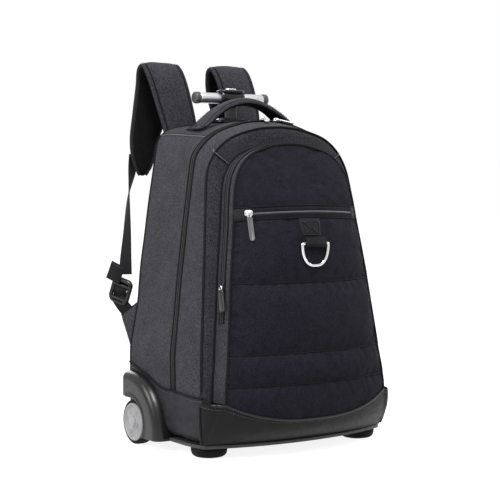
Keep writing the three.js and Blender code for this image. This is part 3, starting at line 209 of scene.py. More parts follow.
def body_lift(points):
    """How far the cloth of the body stands off its drawn form."""
    x, y, z = points[..., 0], points[..., 1], points[..., 2]
    side = np.clip((np.abs(x) / HALF_WIDTH - 0.5) / 0.2, 0, 1)
    lift = 0.9 * soft(points, 3, 150) + 0.35 * soft(points, 5, 46, 2)
    low = np.exp(-((z - 150) / 55) ** 2) * side
    lift += low * 1.1 * np.sin(y / 13 + 1.6 * soft(points, 9, 90)) * np.clip((y + 10) / 40, 0, 1)
    return lift


def body_point(share, towards, y):
    loop, out = ring(share, towards)
    points = np.stack([loop[:, 0], y, loop[:, 1]], 1)
    normal = np.stack([out[:, 0], np.zeros(LOOP), out[:, 1]], 1)
    return points, normal


def rear_ring(share, lift=0.0):
    loop, _ = ring(share)
    y0 = zip_y(loop[:, 1])
    points, normal = body_point(share, "rear", y0 + (REAR - y0) * share)
    fade = np.minimum(1, np.minimum(share, 1 - share) * 9)
    points += normal * (body_lift(points) * fade + lift)[:, None]
    return points, normal


def front_ring(share, lift=0.0):
    loop, _ = ring(share, "front")
    y0, y1 = zip_y(loop[:, 1]), front_y(loop[:, 1])
    points, normal = body_point(share, "front", y0 + (y1 - y0) * share)
    belly = 1.5 * math.sin(math.pi * share)
    fade = min(1, min(share, 1 - share) * 7)
    points += normal * (0.7 * body_lift(points) * fade + belly + lift)[:, None]
    return points, normal


# Materials
def tone(value):
    value /= 255
    return value / 12.92 if value < 0.04045 else ((value + 0.055) / 1.055) ** 2.4


def grey(value, cool=0.1):
    return (tone(value), tone(value * (1 - cool * 0.2)), tone(value * (1 + cool)), 1)


def new_material(name, colour, roughness, metallic=0.0, sheen=0.0, specular=0.5):
    material = bpy.data.materials.new(name)
    material.use_nodes = True
    for socket, value in (("Base Color", colour), ("Roughness", roughness), ("Metallic", metallic),
                          ("Sheen Weight", sheen), ("Sheen Roughness", 0.55),
                          ("Specular IOR Level", specular)):
        material.node_tree.nodes["Principled BSDF"].inputs[socket].default_value = value
    return material


class Graph:
    """Small helper for one material's nodes."""

    def __init__(self, material):
        self.tree = material.node_tree
        self.shader = self.tree.nodes["Principled BSDF"]
        self.coords = self.tree.nodes.new("ShaderNodeTexCoord").outputs["Object"]

    def add(self, kind, inputs=None, **settings):
        node = self.tree.nodes.new(kind)
        for key, value in settings.items():
            setattr(node, key, value)
        for key, value in (inputs or {}).items():
            if isinstance(value, bpy.types.NodeSocket):
                self.tree.links.new(value, node.inputs[key])
            else:
                node.inputs[key].default_value = value
        return node

    def stretched(self, scale):
        return self.add("ShaderNodeMapping", {"Vector": self.coords, "Scale": scale}).outputs[0]

    def noise(self, scale, detail=2.0, vector=None, roughness=0.5):
        return self.add("ShaderNodeTexNoise", {
            "Vector": vector or self.coords, "Scale": scale, "Detail": detail, "Roughness": roughness,
        }).outputs["Fac"]

    def ramp(self, factor, stops):
        node = self.add("ShaderNodeValToRGB", {"Fac": factor})
        ramp = node.color_ramp
        while len(ramp.elements) < len(stops):
            ramp.elements.new(0.5)
        for element, (place, colour) in zip(ramp.elements, stops):
            element.position = place
            element.color = colour
        return node.outputs["Color"]

    def mix(self, factor, a, b, mode="MIX"):
        node = self.add("ShaderNodeMix", data_type="RGBA", blend_type=mode)
        for index, value in ((0, factor), (6, a), (7, b)):
            if isinstance(value, bpy.types.NodeSocket):
                self.tree.links.new(value, node.inputs[index])
            else:
                node.inputs[index].default_value = value
        return node.outputs[2]

    def math(self, operation, a, b=0.0):
        return self.add("ShaderNodeMath", {0: a, 1: b}, operation=operation).outputs[0]

    def wave(self, axis, pitch, vector=None, distortion=0.0):
        node = self.add("ShaderNodeTexWave", {"Vector": vector or self.coords, "Scale": 0.31416 / pitch,
                                              "Distortion": distortion, "Detail": 1.0, "Detail Scale": 1.5,
                                              }, bands_direction=axis)
        return node.outputs["Fac"]

    def bump(self, height, strength, distance, before=None):
        inputs = {"Height": height, "Strength": strength, "Distance": distance}
        if before is not None:
            inputs["Normal"] = before
        return self.add("ShaderNodeBump", inputs).outputs[0]

    def set(self, socket, value):
        self.tree.links.new(value, self.shader.inputs[socket])

    def rough(self, factor, low, high, stop=0.7):
        self.set("Roughness", self.ramp(factor, [(0.3, (low,) * 3 + (1,)), (stop, (high,) * 3 + (1,))]))

    def side_mask(self):
        """Near 1 where the surface faces left or right, near 0 elsewhere."""
        normal = self.add("ShaderNodeNewGeometry").outputs["Normal"]
        x = self.add("ShaderNodeSeparateXYZ", {"Vector": normal}).outputs[0]
        return self.math("ABSOLUTE", x)

    def cloth(self, pitch):
        """Height of a plain weave on any upright face."""
        upright = self.mix(self.side_mask(), self.wave("X", pitch), self.wave("Y", pitch))
        return self.mix(0.5, upright, self.wave("Z", pitch))


def fabric(name, dark, middle, light, pitch, sheen, bump=0.4, spread=1.0, cool=0.1):
    material = new_material(name, grey(middle, cool), 0.92, sheen=sheen, specular=0.1)
    graph = Graph(material)
    threads = graph.noise(430 * spread, 3, graph.stretched((1, 1, 2.4)), 0.65)
    cross = graph.noise(470 * spread, 3, graph.stretched((2.4, 2.4, 1)), 0.65)
    speckle = graph.mix(0.5, threads, cross)
    fleck = graph.ramp(speckle, [(0.4, grey(dark, cool)), (0.5, grey(middle, cool)),
                                 (0.6, grey(light, cool))])
    cloudy = graph.ramp(graph.noise(26, 3), [(0.3, (0.86, 0.86, 0.87, 1)), (0.7, (1.1, 1.1, 1.1, 1))])
    graph.set("Base Color", graph.mix(1.0, fleck, cloudy, "MULTIPLY"))
    weave = graph.bump(graph.cloth(pitch), bump, 0.0005)
    graph.set("Normal", graph.bump(speckle, 0.35, 0.0006, weave))
    graph.rough(graph.noise(90, 2), 0.82, 0.97)
    return material


def leather(name, shade, roughness, grain=900):
    material = new_material(name, grey(shade), roughness, specular=0.14)
    graph = Graph(material)
    cells = graph.add("ShaderNodeTexVoronoi", {"Vector": graph.coords, "Scale": grain}).outputs["Distance"]
    broad = graph.noise(60, 4)
    graph.set("Base Color", graph.ramp(broad, [(0.3, grey(shade * 0.85)), (0.72, grey(shade * 1.2))]))
    graph.rough(graph.noise(180, 3), roughness - 0.07, roughness + 0.08)
    fine = graph.bump(cells, 0.28, 0.0004)
    graph.set("Normal", graph.bump(broad, 0.12, 0.002, fine))
    return material


def tape(name, shade, pitch, axis="Z", sheen=0.25, light=1.5):
    material = new_material(name, grey(shade), 0.8, sheen=sheen, specular=0.15)
    graph = Graph(material)
    ribs = graph.wave(axis, pitch, distortion=0.4)
    graph.set("Base Color", graph.mix(graph.noise(500, 2), grey(shade * 0.75), grey(shade * light)))
    graph.set("Normal", graph.bump(graph.mix(0.5, ribs, graph.noise(900, 2)), 0.5, 0.0006))
    return material


def moulded(name, shade, roughness, grain=0.12, wear=1.25, specular=0.3):
    material = new_material(name, grey(shade, 0.01), roughness, specular=specular)
    graph = Graph(material)
    graph.set("Base Color", graph.ramp(graph.noise(40, 4), [
        (0.35, grey(shade, 0.01)), (0.75, grey(shade * wear, 0.01))]))
    graph.rough(graph.noise(70, 4), roughness * 0.85, min(1, roughness * 1.2), 0.72)
    graph.set("Normal", graph.bump(graph.noise(1600, 2), grain, 0.0003))
    return material


def metal(name, shade, roughness, brushed=0.1):
    material = new_material(name, grey(shade, 0.01), roughness, metallic=1.0)
    graph = Graph(material)
    lines = graph.noise(900, 3, graph.stretched((0.06, 1, 1)))
    graph.set("Base Color", graph.ramp(graph.noise(50, 3), [
        (0.3, grey(shade * 0.93, 0.01)), (0.7, grey(shade, 0.01))]))
    graph.rough(lines, roughness * 0.8, roughness * 1.25)
    graph.set("Normal", graph.bump(lines, brushed, 0.0002))
    return material


MELANGE = fabric("melange_cloth", 20, 37, 62, 0.0011, 0.03)
PANEL = fabric("panel_cloth", 9, 18, 29, 0.0009, 0.0, cool=0.32)
LINING = fabric("lining_mesh", 3, 7, 13, 0.0016, 0.0, bump=0.7)
BINDING = tape("binding_tape", 17, 0.0008, sheen=0.05)
PIPING = tape("piping_cloth", 7, 0.0007, sheen=0.0)
ZIP_TAPE = tape("zip_tape", 30, 0.0009, light=1.35, sheen=0.05)
WEBBING = tape("webbing_weave", 13, 0.0012, sheen=0.0)
LEATHER = leather("satin_leather", 12, 0.46)
# The sides take the skirt's leather, more matte and drawn lighter: the lighter colour is painted light
LIT_SIDE_LEATHER = leather("side_leather_painted_light", 31, 0.62)
PATCH = leather("patch_leather", 24, 0.5, grain=700)
GLOSS = moulded("gloss_plastic", 14, 0.28)
CAP = moulded("cap_plastic", 52, 0.36)
TRAY = moulded("tray_plastic", 40, 0.5)
RUBBER = moulded("rubber", 8, 0.72, grain=0.3, specular=0.12)
HUB = moulded("hub_grey", 122, 0.42, grain=0.1, wear=1.08)
CHROME = metal("chrome", 215, 0.16, 0.02)
SATIN = metal("satin_metal", 205, 0.36, 0.15)
GUN = metal("dark_metal", 70, 0.4, 0.1)
THREAD = tape("thread", 52, 0.0006, light=1.3)
# Seam beads: the melange drawn lighter, a painted highlight along raised seams
HIGHLIGHT_BEAD = tape("bead_painted_highlight", 50, 0.0008, light=1.4)
PULL = moulded("pull_grey", 72, 0.4)
PULL_DARK = moulded("pull_dark", 40, 0.45)
BLACK = moulded("black_metal", 14, 0.3)


# Making pieces
def around(count):
    return np.arange(count) / count * 2 * math.pi


def quads(rows, cols, wrap_rows=False, wrap_cols=False):
    faces = []
    for r in range(rows if wrap_rows else rows - 1):
        for c in range(cols if wrap_cols else cols - 1):
            r2, c2 = (r + 1) % rows, (c + 1) % cols
            faces.append((r * cols + c, r * cols + c2, r2 * cols + c2, r2 * cols + c))
    return faces


def build(name, points, faces, material, body="bag", slot=None, replaces=()):
    points = to_scene(points)
    mesh = bpy.data.meshes.new(name)
    mesh.from_pydata(points.tolist(), [], faces)
    mesh.validate()
    work = bmesh.new()
    work.from_mesh(mesh)
    bmesh.ops.remove_doubles(work, verts=work.verts, dist=1e-6)
    bmesh.ops.recalc_face_normals(work, faces=work.faces)
    for face in work.faces:
        face.smooth = True
    work.to_mesh(mesh)
    work.free()
    mesh.materials.append(material)
    piece = bpy.data.objects.new(name, mesh)
    bpy.context.scene.collection.objects.link(piece)
    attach(piece, body)
    if replaces:
        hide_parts(*replaces)
    return piece


def grid(name, points, material, wrap_rows=False, wrap_cols=False, caps=False, **rest):
    points = np.asarray(points)
    rows, cols = points.shape[:2]
    faces = quads(rows, cols, wrap_rows, wrap_cols)
    if caps:
        faces.append(tuple(range(cols - 1, -1, -1)))
        faces.append(tuple(range((rows - 1) * cols, rows * cols)))
    return build(name, points, faces, material, **rest)


def inflate(piece, pinned, pressure, grow, cap, last=18, stiff=8.0, bend=0.05):
    """Blows a cloth piece up between its held points, keeps the result and no modifier."""
    scene = bpy.context.scene
    mesh = piece.data
    rest = np.empty(len(mesh.vertices) * 3)
    mesh.vertices.foreach_get("co", rest)
    group = piece.vertex_groups.new(name="held")
    group.add([int(i) for i in pinned], 1.0, "REPLACE")
    cloth = piece.modifiers.new("swell", "CLOTH")
    settings = cloth.settings
    settings.quality = 4
    settings.mass = 0.1
    settings.tension_stiffness = settings.compression_stiffness = stiff
    settings.shear_stiffness = stiff * 0.5
    settings.bending_stiffness = bend
    settings.air_damping = 1.0
    settings.use_pressure = True
    settings.uniform_pressure_force = pressure
    settings.shrink_min = -grow
    settings.vertex_group_mass = "held"
    settings.effector_weights.gravity = 0
    cloth.collision_settings.use_collision = False
    cloth.collision_settings.use_self_collision = False
    cloth.point_cache.frame_start = 1
    cloth.point_cache.frame_end = last
    for number in range(1, last + 1):
        scene.frame_set(number)
    shaped = piece.evaluated_get(bpy.context.evaluated_depsgraph_get())
    moved = np.empty(len(rest))
    shaped.data.vertices.foreach_get("co", moved)
    step = (moved - rest).reshape(-1, 3)
    length = np.linalg.norm(step, axis=1)
    step *= np.minimum(1, cap * 0.001 / np.maximum(length, 1e-9))[:, None]
    piece.modifiers.remove(cloth)
    piece.vertex_groups.remove(group)
    scene.frame_set(1)
    mesh.vertices.foreach_set("co", (rest.reshape(-1, 3) + step).ravel())
    mesh.update()


def tangents(path, closed=False):
    if closed:
        run = np.roll(path, -1, 0) - np.roll(path, 1, 0)
    else:
        run = np.gradient(path, axis=0)
    return run / np.linalg.norm(run, axis=1)[:, None]


def unit(v):
    return v / np.maximum(np.linalg.norm(v, axis=-1, keepdims=True), 1e-9)


def sweep_points(path, section, normal, closed=False):
    run = tangents(path, closed)
    normal = np.broadcast_to(np.asarray(normal, float), path.shape)
    normal = unit(normal - run * np.sum(normal * run, 1)[:, None])
    side = np.cross(run, normal)
    section = np.asarray(section, float)
    if section.ndim == 2:
        section = np.broadcast_to(section, (len(path),) + section.shape)
    return path[:, None] + side[:, None] * section[..., :1] + normal[:, None] * section[..., 1:2]


def sweep(name, path, section, normal, material, closed=False, caps=True, slot="trim", **rest):
    points = sweep_points(path, section, normal, closed)
    return grid(name, points, material, wrap_rows=closed, wrap_cols=True, caps=caps and not closed,
                slot=slot, **rest)


def circle(radius, sides=8, flatten=1.0):
    angles = around(sides)
    return np.stack([np.cos(angles) * radius, np.sin(angles) * radius * flatten], 1)


def mirrored(half):
    """A section from its left half: the same points again from right to left."""
    return half + [(-x, y) for x, y in half[::-1]]


def resample(path, step):
    path = np.asarray(path, float)
    length = np.concatenate([[0], np.cumsum(np.linalg.norm(np.diff(path, axis=0), axis=1))])
    at = np.linspace(0, length[-1], max(int(length[-1] / step) + 1, 2))
    return np.stack([np.interp(at, length, path[:, k]) for k in range(path.shape[1])], 1)


def stitches(name, path, normal, material=None, pitch=3.4, length=2.3, thick=0.38, lift=0.25, slot="trim",
             **rest):
    """A row of separate stitches lying along a path."""
    path = resample(path, 0.6)
    normal = np.asarray(normal, float)
    if normal.ndim == 2:
        at, share = np.linspace(0, 1, len(path)), np.linspace(0, 1, len(normal))
        normal = np.stack([np.interp(at, share, normal[:, k]) for k in range(3)], 1)
    normal = np.broadcast_to(normal, path.shape)
    run = tangents(path)
    normal = unit(normal - run * np.sum(normal * run, 1)[:, None])
    side = np.cross(run, normal)
    every = max(int(round(pitch / 0.6)), 2)
    points, faces = [], []
    profile = [(-0.5, 0.35, -0.3), (-0.3, 0.9, 0.5), (0.3, 0.9, 0.5), (0.5, 0.35, -0.3)]
    for i in range(every // 2, len(path) - 1, every):
        start = len(points)
        for along, size, rise in profile:
            centre = path[i] + run[i] * along * length + normal[i] * (lift + rise * thick)
            for k in range(5):
                angle = k / 5 * 2 * math.pi
                points.append(centre + side[i] * math.cos(angle) * thick * size
                              + normal[i] * math.sin(angle) * thick * size)
        for r in range(3):
            for k in range(5):
                a, b = start + r * 5 + k, start + r * 5 + (k + 1) % 5
                faces.append((a, b, b + 5, a + 5))
        faces.append(tuple(start + k for k in range(4, -1, -1)))
        faces.append(tuple(start + 15 + k for k in range(5)))
    return build(name, points, faces, material or THREAD, slot=slot, **rest)


# Rear body: zip edge, sides and crown, the small-radius edge and the padded back panel
rear_rows = []
for share in np.linspace(0.04, 0.955, 34):
    rear_rows.append(rear_ring(share)[0])
edge_loop, edge_out = ring(1.0)
for angle in np.linspace(0, math.pi / 2, 6):
    inset = REAR_ROUND * (1 - math.cos(angle))
    y = np.full(LOOP, REAR - REAR_ROUND + REAR_ROUND * math.sin(angle))
    flat_ring = edge_loop - edge_out * inset
    rear_rows.append(np.stack([flat_ring[:, 0], y, np.maximum(flat_ring[:, 1], BASE)], 1))
middle_z = BASE + HEIGHT / 2
last = rear_rows[-1]
for size in np.concatenate([np.linspace(0.975, 0.1, 26), [0.0]]):
    x = last[:, 0] * size
    z = middle_z + (last[:, 2] - middle_z) * size
    y = REAR + 5.0 * (1 - size**4)
    points = np.stack([x, np.full(LOOP, y), z], 1)
    points[:, 1] += 0.5 * soft(points, 21, 80) * (1 - size**6)
    rear_rows.append(points)
grid("rear_body", rear_rows, MELANGE, wrap_cols=True, slot="melange", replaces=["rear_shell"])

# Front half: gusset, turned edge and the face that the pocket is sewn to
front_rows = []
for share in np.linspace(0.055, 0.95, 24):
    front_rows.append(front_ring(share)[0])
front_loop, front_out = ring(1.0, "front")
for angle in np.linspace(0, math.pi / 2, 6):
    inset = FRONT_ROUND * (1 - math.cos(angle))
    flat_ring = front_loop - front_out * inset
    z = np.maximum(flat_ring[:, 1], BASE)
    y = front_y(z) + FRONT_ROUND - FRONT_ROUND * math.sin(angle)
    front_rows.append(np.stack([flat_ring[:, 0], y, z], 1))
last = front_rows[-1]
for size in np.linspace(0.97, 0.3, 10):
    z = middle_z + (last[:, 2] - middle_z) * size
    front_rows.append(np.stack([last[:, 0] * size, front_y(z) + 0.4, z], 1))
grid("front_body", front_rows, MELANGE, wrap_cols=True, slot="melange", replaces=["front_shell"])


def loop_run(points, normal, low_z):
    """The part of a closed ring above a height, from the right side over the crown to the left."""
    start = next(i for i in range(HALF) if points[i, 2] > low_z)
    stop = LOOP - start
    return points[start:stop + 1], normal[start:stop + 1]


# Main zip: tape in a shallow bed between two rolled lips, and its coil
zip_base, zip_out = rear_ring(0.0)
zip_path, zip_normal = loop_run(zip_base, zip_out, 94)
tape_section = mirrored([(-5.6, -1.2), (-5.2, 0.35), (-1.6, 0.5), (-1.1, 0.9)])
sweep("main_zip_tape", zip_path, tape_section, zip_normal, ZIP_TAPE, replaces=["main_zip"])
sweep("main_zip_coil", zip_path + zip_normal * 0.8, circle(1.0, 6, 0.6), zip_normal, PIPING)
for label, offset in (("rear", -5.6), ("front", 5.6)):
    side = np.cross(tangents(zip_path), zip_normal)
    sweep(f"main_zip_lip_{label}", zip_path + side * offset + zip_normal * 0.1, circle(1.8, 8), zip_normal,
          PIPING)

# Piping round the front edge
pipe_points = np.stack([front_loop[:, 0], front_y(front_loop[:, 1]) + 1.0, front_loop[:, 1]], 1)
pipe_normal = np.stack([front_out[:, 0], np.full(LOOP, -0.6), front_out[:, 1]], 1)
pipe_path, pipe_out = loop_run(pipe_points, pipe_normal, 97)
sweep("front_edge_piping", pipe_path + unit(pipe_out) * 0.6, circle(1.4, 10), pipe_out, PIPING,
      replaces=["front_piping"])
sweep("front_edge_flange", pipe_path + unit(pipe_out) * (0.2, 1, 0.2) * 0.2 + (0, 3.6, 0),
      circle(1.0, 6), pipe_out, PIPING)

# Piping round the rear edge
rear_edge = np.stack([edge_loop[:, 0], np.full(LOOP, REAR - 1.6), edge_loop[:, 1]], 1)
rear_edge_normal = np.stack([edge_out[:, 0], np.full(LOOP, 0.7), edge_out[:, 1]], 1)
edge_path, edge_normal = loop_run(rear_edge, rear_edge_normal, 100)
sweep("rear_edge_piping", edge_path - unit(edge_normal) * 0.2, circle(1.5, 8), edge_normal, PIPING)


# Pocket surface
def seam_z(across):
    return BASE + POCKET_ROWS[0, 0] * HEIGHT - SEAM_SAG * (1 - np.abs(across) ** SEAM_POWER)


def pocket_half(z):
    return column(POCKET_ROWS, 1, share_of(z)) * POCKET_HALF


def pocket_edge_y(z):
    return front_y(z) - column(POCKET_ROWS, 2, share_of(z)) * POCKET_DEPTH


def pocket_y(across, z, swell=0.0):
    crown = column(POCKET_ROWS, 3, share_of(z)) * POCKET_CROWN
    bow = np.maximum(1 - np.abs(across) ** 2.3, 0)
    return pocket_edge_y(z) - crown * bow - swell * 3.2 * np.sqrt(bow)


POCKET_TOP = BASE + 0.912 * HEIGHT


def top_z(across):
    return POCKET_TOP + ARCH_RISE * (1 - across**2)


# Rows of the panel by segment, so that each quilting seam is a line of the mesh: rows and swell
COLUMNS = 121
across = np.linspace(-1, 1, COLUMNS)
across = np.sin(across * math.pi / 2) * 0.35 + across * 0.65
segments = [(seam_z(across), QUILT_1, 14, 2.6), (QUILT_1, QUILT_2, 22, 4.6), (QUILT_2, QUILT_3, 44, 6.4),
            (QUILT_3, PANEL_ZIP_LOW, 34, 4.0), (PANEL_ZIP_LOW, PANEL_ZIP_HIGH, 8, 0.0),
            (PANEL_ZIP_HIGH, top_z(across), 34, 1.6)]
panel_rows, panel_pins = [], []
for number, (low, high, count, swell) in enumerate(segments):
    for step in range(count):
        t = step / count
        arch = ARCH_RISE * (1 - across**2)
        z = low + (high - low) * t + arch * (number in (4, 5)) * (1 - t * (number == 5))
        if number == 3:
            z = z + arch * t
        puff = swell * (1.35 * math.sin(math.pi * t**1.25) ** 0.55 * (0.35 + 0.65 * t) if t > 0 else 0)
        rim = np.clip((1 - np.abs(across)) * 9, 0, 1) ** 0.6
        x = across * pocket_half(z)
        y = pocket_y(across, z) - puff * rim - 0.9
        panel_rows.append(np.stack([x, y, z], 1))
        panel_pins.append(step == 0 or number == 4)
z = top_z(across)
panel_rows.append(np.stack([across * pocket_half(z), pocket_y(across, z), z], 1))
panel_pins.append(True)
panel_rows = np.array(panel_rows)

# The seams pull the cloth into small puckers on both sides
seam_lines = [i for i, pinned in enumerate(panel_pins) if pinned and panel_rows[i, 60, 2] < 300]
rows_z = panel_rows[..., 2]
for line in seam_lines[1:]:
    away = np.abs(rows_z - rows_z[line])
    pucker = np.exp(-((away - 5) / 5.5) ** 2)
    ripple = np.sin(panel_rows[..., 0] / 3.1 + 2.2 * soft(panel_rows, 40 + line, 60))
    panel_rows[..., 1] -= 0.34 * pucker * ripple
panel_rows[..., 1] -= 0.55 * soft(panel_rows, 33, 70, 3) * np.clip((1 - np.abs(across)) * 6, 0, 1)
pocket_panel = grid("pocket_panel", panel_rows, PANEL, slot="panel", replaces=["front_pocket"])


def is_held(row, col):
    x, _, z = panel_rows[row, col]
    return panel_pins[row] or col in (0, COLUMNS - 1) or (z > 314 and abs(x) < 22)


held = [r * COLUMNS + c for r in range(len(panel_rows)) for c in range(COLUMNS) if is_held(r, c)]
inflate(pocket_panel, held, 5.0, 0.018, 5.0)


# A dark cord lies in each quilting seam: its stitching, drawn dark as painted shade in the seam's crease
for number, line in enumerate(seam_lines[1:]):
    path = panel_rows[line]
    normal = np.array([0, -1.0, 0.1])
    sweep(f"quilt_painted_shade_{number}", path[1:-1] + normal * 0.5, circle(1.2, 6), normal, PIPING)

# The pocket's side wall runs back from the panel's edge to the bag
def border_of(rows):
    return np.concatenate([rows[:-1, 0][1:], rows[-1, :-1], rows[:, -1][::-1]])


edge_line = border_of(panel_rows)
edge_run = tangents(edge_line)
pocket_out = unit(np.stack([-edge_run[:, 2], np.zeros(len(edge_run)), edge_run[:, 0]], 1))
spread = 1 + 0.04 * (1 - share_of(edge_line[:, 2]))
wall_back = np.stack([edge_line[:, 0] * spread, front_y(edge_line[:, 2]) + 0.6, edge_line[:, 2]], 1)
wall_rows = []
for t in np.linspace(0, 1, 12):
    line = edge_line * (1 - t) + wall_back * t
    belly = 1.3 * math.sin(math.pi * t) + 0.5 * soft(line, 51, 70) * math.sin(math.pi * t)
    wall_rows.append(line + pocket_out * np.reshape(belly, (-1, 1)) * 0.8)
grid("pocket_wall", wall_rows, MELANGE, slot="panel")

# Piping along the panel's edge and a flat binding where the wall meets the bag
edge_dir = unit(pocket_out + (0, -0.8, 0))
sweep("pocket_edge_piping", edge_line + edge_dir * 0.9, circle(1.7, 8), edge_dir, PIPING)
sweep("pocket_foot_piping", wall_back + pocket_out * 1.0 + (0, -1.4, 0), circle(1.6, 8), pocket_out, PIPING)

# Pocket zip: it runs from the left wall over the arch to the right wall
zip_mid = edge_line * 0.5 + wall_back * 0.5 + pocket_out * 1.5
keep = [i for i in range(len(zip_mid)) if zip_mid[i, 2] > 196]
zip_mid, zip_dir = zip_mid[keep[0]:keep[-1] + 1], pocket_out[keep[0]:keep[-1] + 1]
band = mirrored([(-5, -0.9), (-4.6, 0.4), (-1.4, 0.6), (-1.0, 1.1)])
sweep("pocket_zip_tape", zip_mid, band, zip_dir, ZIP_TAPE, replaces=["pocket_zip"])
sweep("pocket_zip_coil", zip_mid + zip_dir * 0.9, circle(1.0, 6, 0.6), zip_dir, PIPING)
for label, offset in (("outer", -5.0), ("inner", 5.0)):
    side = np.cross(tangents(zip_mid), zip_dir)
    sweep(f"pocket_zip_lip_{label}", zip_mid + side * offset + zip_dir * 0.1, circle(1.1, 8), zip_dir, PIPING)


def face_point(x, z, out=0.0):
    """A place on the panel's face with the direction that it faces."""
    x, z = np.broadcast_arrays(np.asarray(x, float), np.asarray(z, float))

    def at(x, z):
        share = np.clip(x / pocket_half(z), -1, 1)
        return np.stack([x, pocket_y(share, z) - 1.2, z], -1)
    here = at(x, z)
    normal = unit(np.cross(at(x + 1, z) - at(x - 1, z), at(x, z + 1) - at(x, z - 1)))
    return here + normal * out, normal


# Panel zip: its band is sewn across the panel, with an end box at each side
def arched(x, z):
    return z + ARCH_RISE * (1 - (x / pocket_half(z)) ** 2)


xs = np.linspace(-112, 106, 110)
band_z = np.linspace(PANEL_ZIP_LOW, PANEL_ZIP_HIGH, 7)
band_points = []
for x in np.linspace(-pocket_half(PANEL_ZIP_Z) + 0.6, pocket_half(PANEL_ZIP_Z) - 0.6, 100):
    z = arched(x, band_z)
    here, normal = face_point(np.full(7, x), z, 1.5)
    lip = np.array([-1.4, 0.3, 0.2, -0.9, 0.2, 0.3, -1.4])
    band_points.append(here + normal * lip[:, None])
grid("panel_zip_band", band_points, PANEL, slot="trim", replaces=["panel_zip"])
for label, z in (("low", PANEL_ZIP_LOW), ("high", PANEL_ZIP_HIGH)):
    here, normal = face_point(xs, arched(xs, z), 1.0)
    sweep(f"panel_zip_edge_{label}", here, circle(1.3, 8), normal, PIPING)
coil_x = np.linspace(-88, 94, 366)
here, normal = face_point(coil_x, arched(coil_x, PANEL_ZIP_Z - 0.5), 1.7)
teeth = 0.28 * (-1.0) ** np.arange(len(coil_x))[:, None]
# The coil takes the lighter bead cloth: a painted highlight along it
sweep("panel_zip_coil", here + normal * teeth * 0.5, circle(1.3, 6, 0.55), normal, HIGHLIGHT_BEAD)
# Dark cords either side of the coil: painted shade in its grooves
for label, z in (("low", -4.2), ("high", 4.0)):
    line, facing = face_point(coil_x, arched(coil_x, PANEL_ZIP_Z + z), 1.4)
    sweep(f"panel_zip_painted_shade_{label}", line, circle(0.8, 6), facing, PIPING)
for label, low, high in (("left", -113, -89), ("right", 95, 106)):
    box_x = np.linspace(low, high, 12)
    rows = []
    for z in np.linspace(PANEL_ZIP_Z - 8.4, PANEL_ZIP_Z + 8.4, 8):
        here, normal = face_point(box_x, arched(box_x, z), 2.3)
        edge_x = np.minimum(1, np.minimum(box_x - low, high - box_x) / 2.0)
        edge_z = min(1, (8.6 - abs(z - PANEL_ZIP_Z)) / 2.0)
        rows.append(here - normal * (1.3 * (1 - np.minimum(edge_x, edge_z)))[:, None])
    grid(f"panel_zip_end_{label}", rows, BINDING, slot="trim")


# Leather base: from the body's left corner round the pocket's foot to its right corner
def base_curve(share):
    return -(GUSSET * 0.855 + 30.0 * (1 - share**2.2))


def leather_surface(spot_count=161, row_count=26):
    corner = 0.8
    spots = np.linspace(-1, 1, spot_count)
    rows = []
    for a in spots:
        share = math.sin(abs(a) * math.pi / 2) ** 0.86
        low = np.array([math.copysign(share * HALF_WIDTH * 0.958, a), base_curve(share), 21.0])
        bend = abs(a)
        if bend <= corner:
            s = a / corner
            z = float(seam_z(np.array(s)))
            high = np.array([s * float(pocket_half(z)), float(pocket_y(np.array(s), z)) - 0.4, z - 1.0])
        else:
            turn = (bend - corner) / (1 - corner) * math.pi / 2
            z = BASE + POCKET_ROWS[0, 0] * HEIGHT
            wide = HALF_WIDTH * 0.972 + (4 if a < 0 else 0)
            x = float(pocket_half(z)) * (1 - math.sin(turn)) + wide * math.sin(turn)
            back = 1 - math.cos(turn)
            y = (float(pocket_edge_y(z)) - 0.4) * (1 - back) + (float(front_y(z)) - 1.5) * back
            high = np.array([math.copysign(x, a), y, z - 1.0 + (5 if a < 0 else 1) * back])
        t = np.linspace(0, 1, row_count)[:, None]
        line = low + (high - low) * t
        out = unit(np.stack([line[:, 0] / HALF_WIDTH, np.full(row_count, -1.1), np.zeros(row_count)], 1))
        line = line + out * (6 * np.sin(math.pi * t))
        gather = math.exp(-((abs(a) - 0.86) / 0.06) ** 2)
        ripple = np.sin(a * 150 + 2 * t[:, 0]) * (t[:, 0] ** 1.5) * gather * 1.1
        line += out * (ripple + 0.5 * soft(line, 61, 60) * np.sin(math.pi * t[:, 0]))[:, None]
        rows.append(line)
    return np.array(rows)


leather_rows = leather_surface()
grid("leather_skirt", leather_rows, LEATHER, slot="leather", replaces=["leather_base"])
top_line = leather_rows[:, -1]
top_dir = unit(np.stack([top_line[:, 0] / HALF_WIDTH, np.full(len(top_line), -1.0),
                         np.full(len(top_line), 0.5)], 1))
sweep("base_seam_piping", (top_line + top_dir * 1.2 + (0, 0, 0.8))[8:-16], circle(2.1, 10), top_dir[8:-16],
      GLOSS)
stitch_line = leather_rows[:, -3]
stitch_dir = unit(np.stack([stitch_line[:, 0] / HALF_WIDTH, np.full(len(stitch_line), -1.0),
                            np.zeros(len(stitch_line))], 1))
stitches("base_seam_stitches", stitch_line, stitch_dir, pitch=3.6)


# Piping down the corners where the skirt meets the sides
for label, column_at in (("left", 0), ("right", -1)):
    corner_line = leather_rows[column_at, 1:-2 if label == "left" else -5]
    outward = np.array([-1.0 if label == "left" else 1.0, -0.6, 0])
    sweep(f"skirt_corner_piping_{label}", corner_line + unit(outward) * 0.6, circle(1.9, 10), outward,
          LEATHER)

# Leather wraps the sides below the piped side seam
SIDE_SEAM = np.array([(-87, 90.5), (-59, 90.5), (-19, 92.5), (12.5, 94), (42, 100), (72, 111.5),
                      (119, 123.5)])


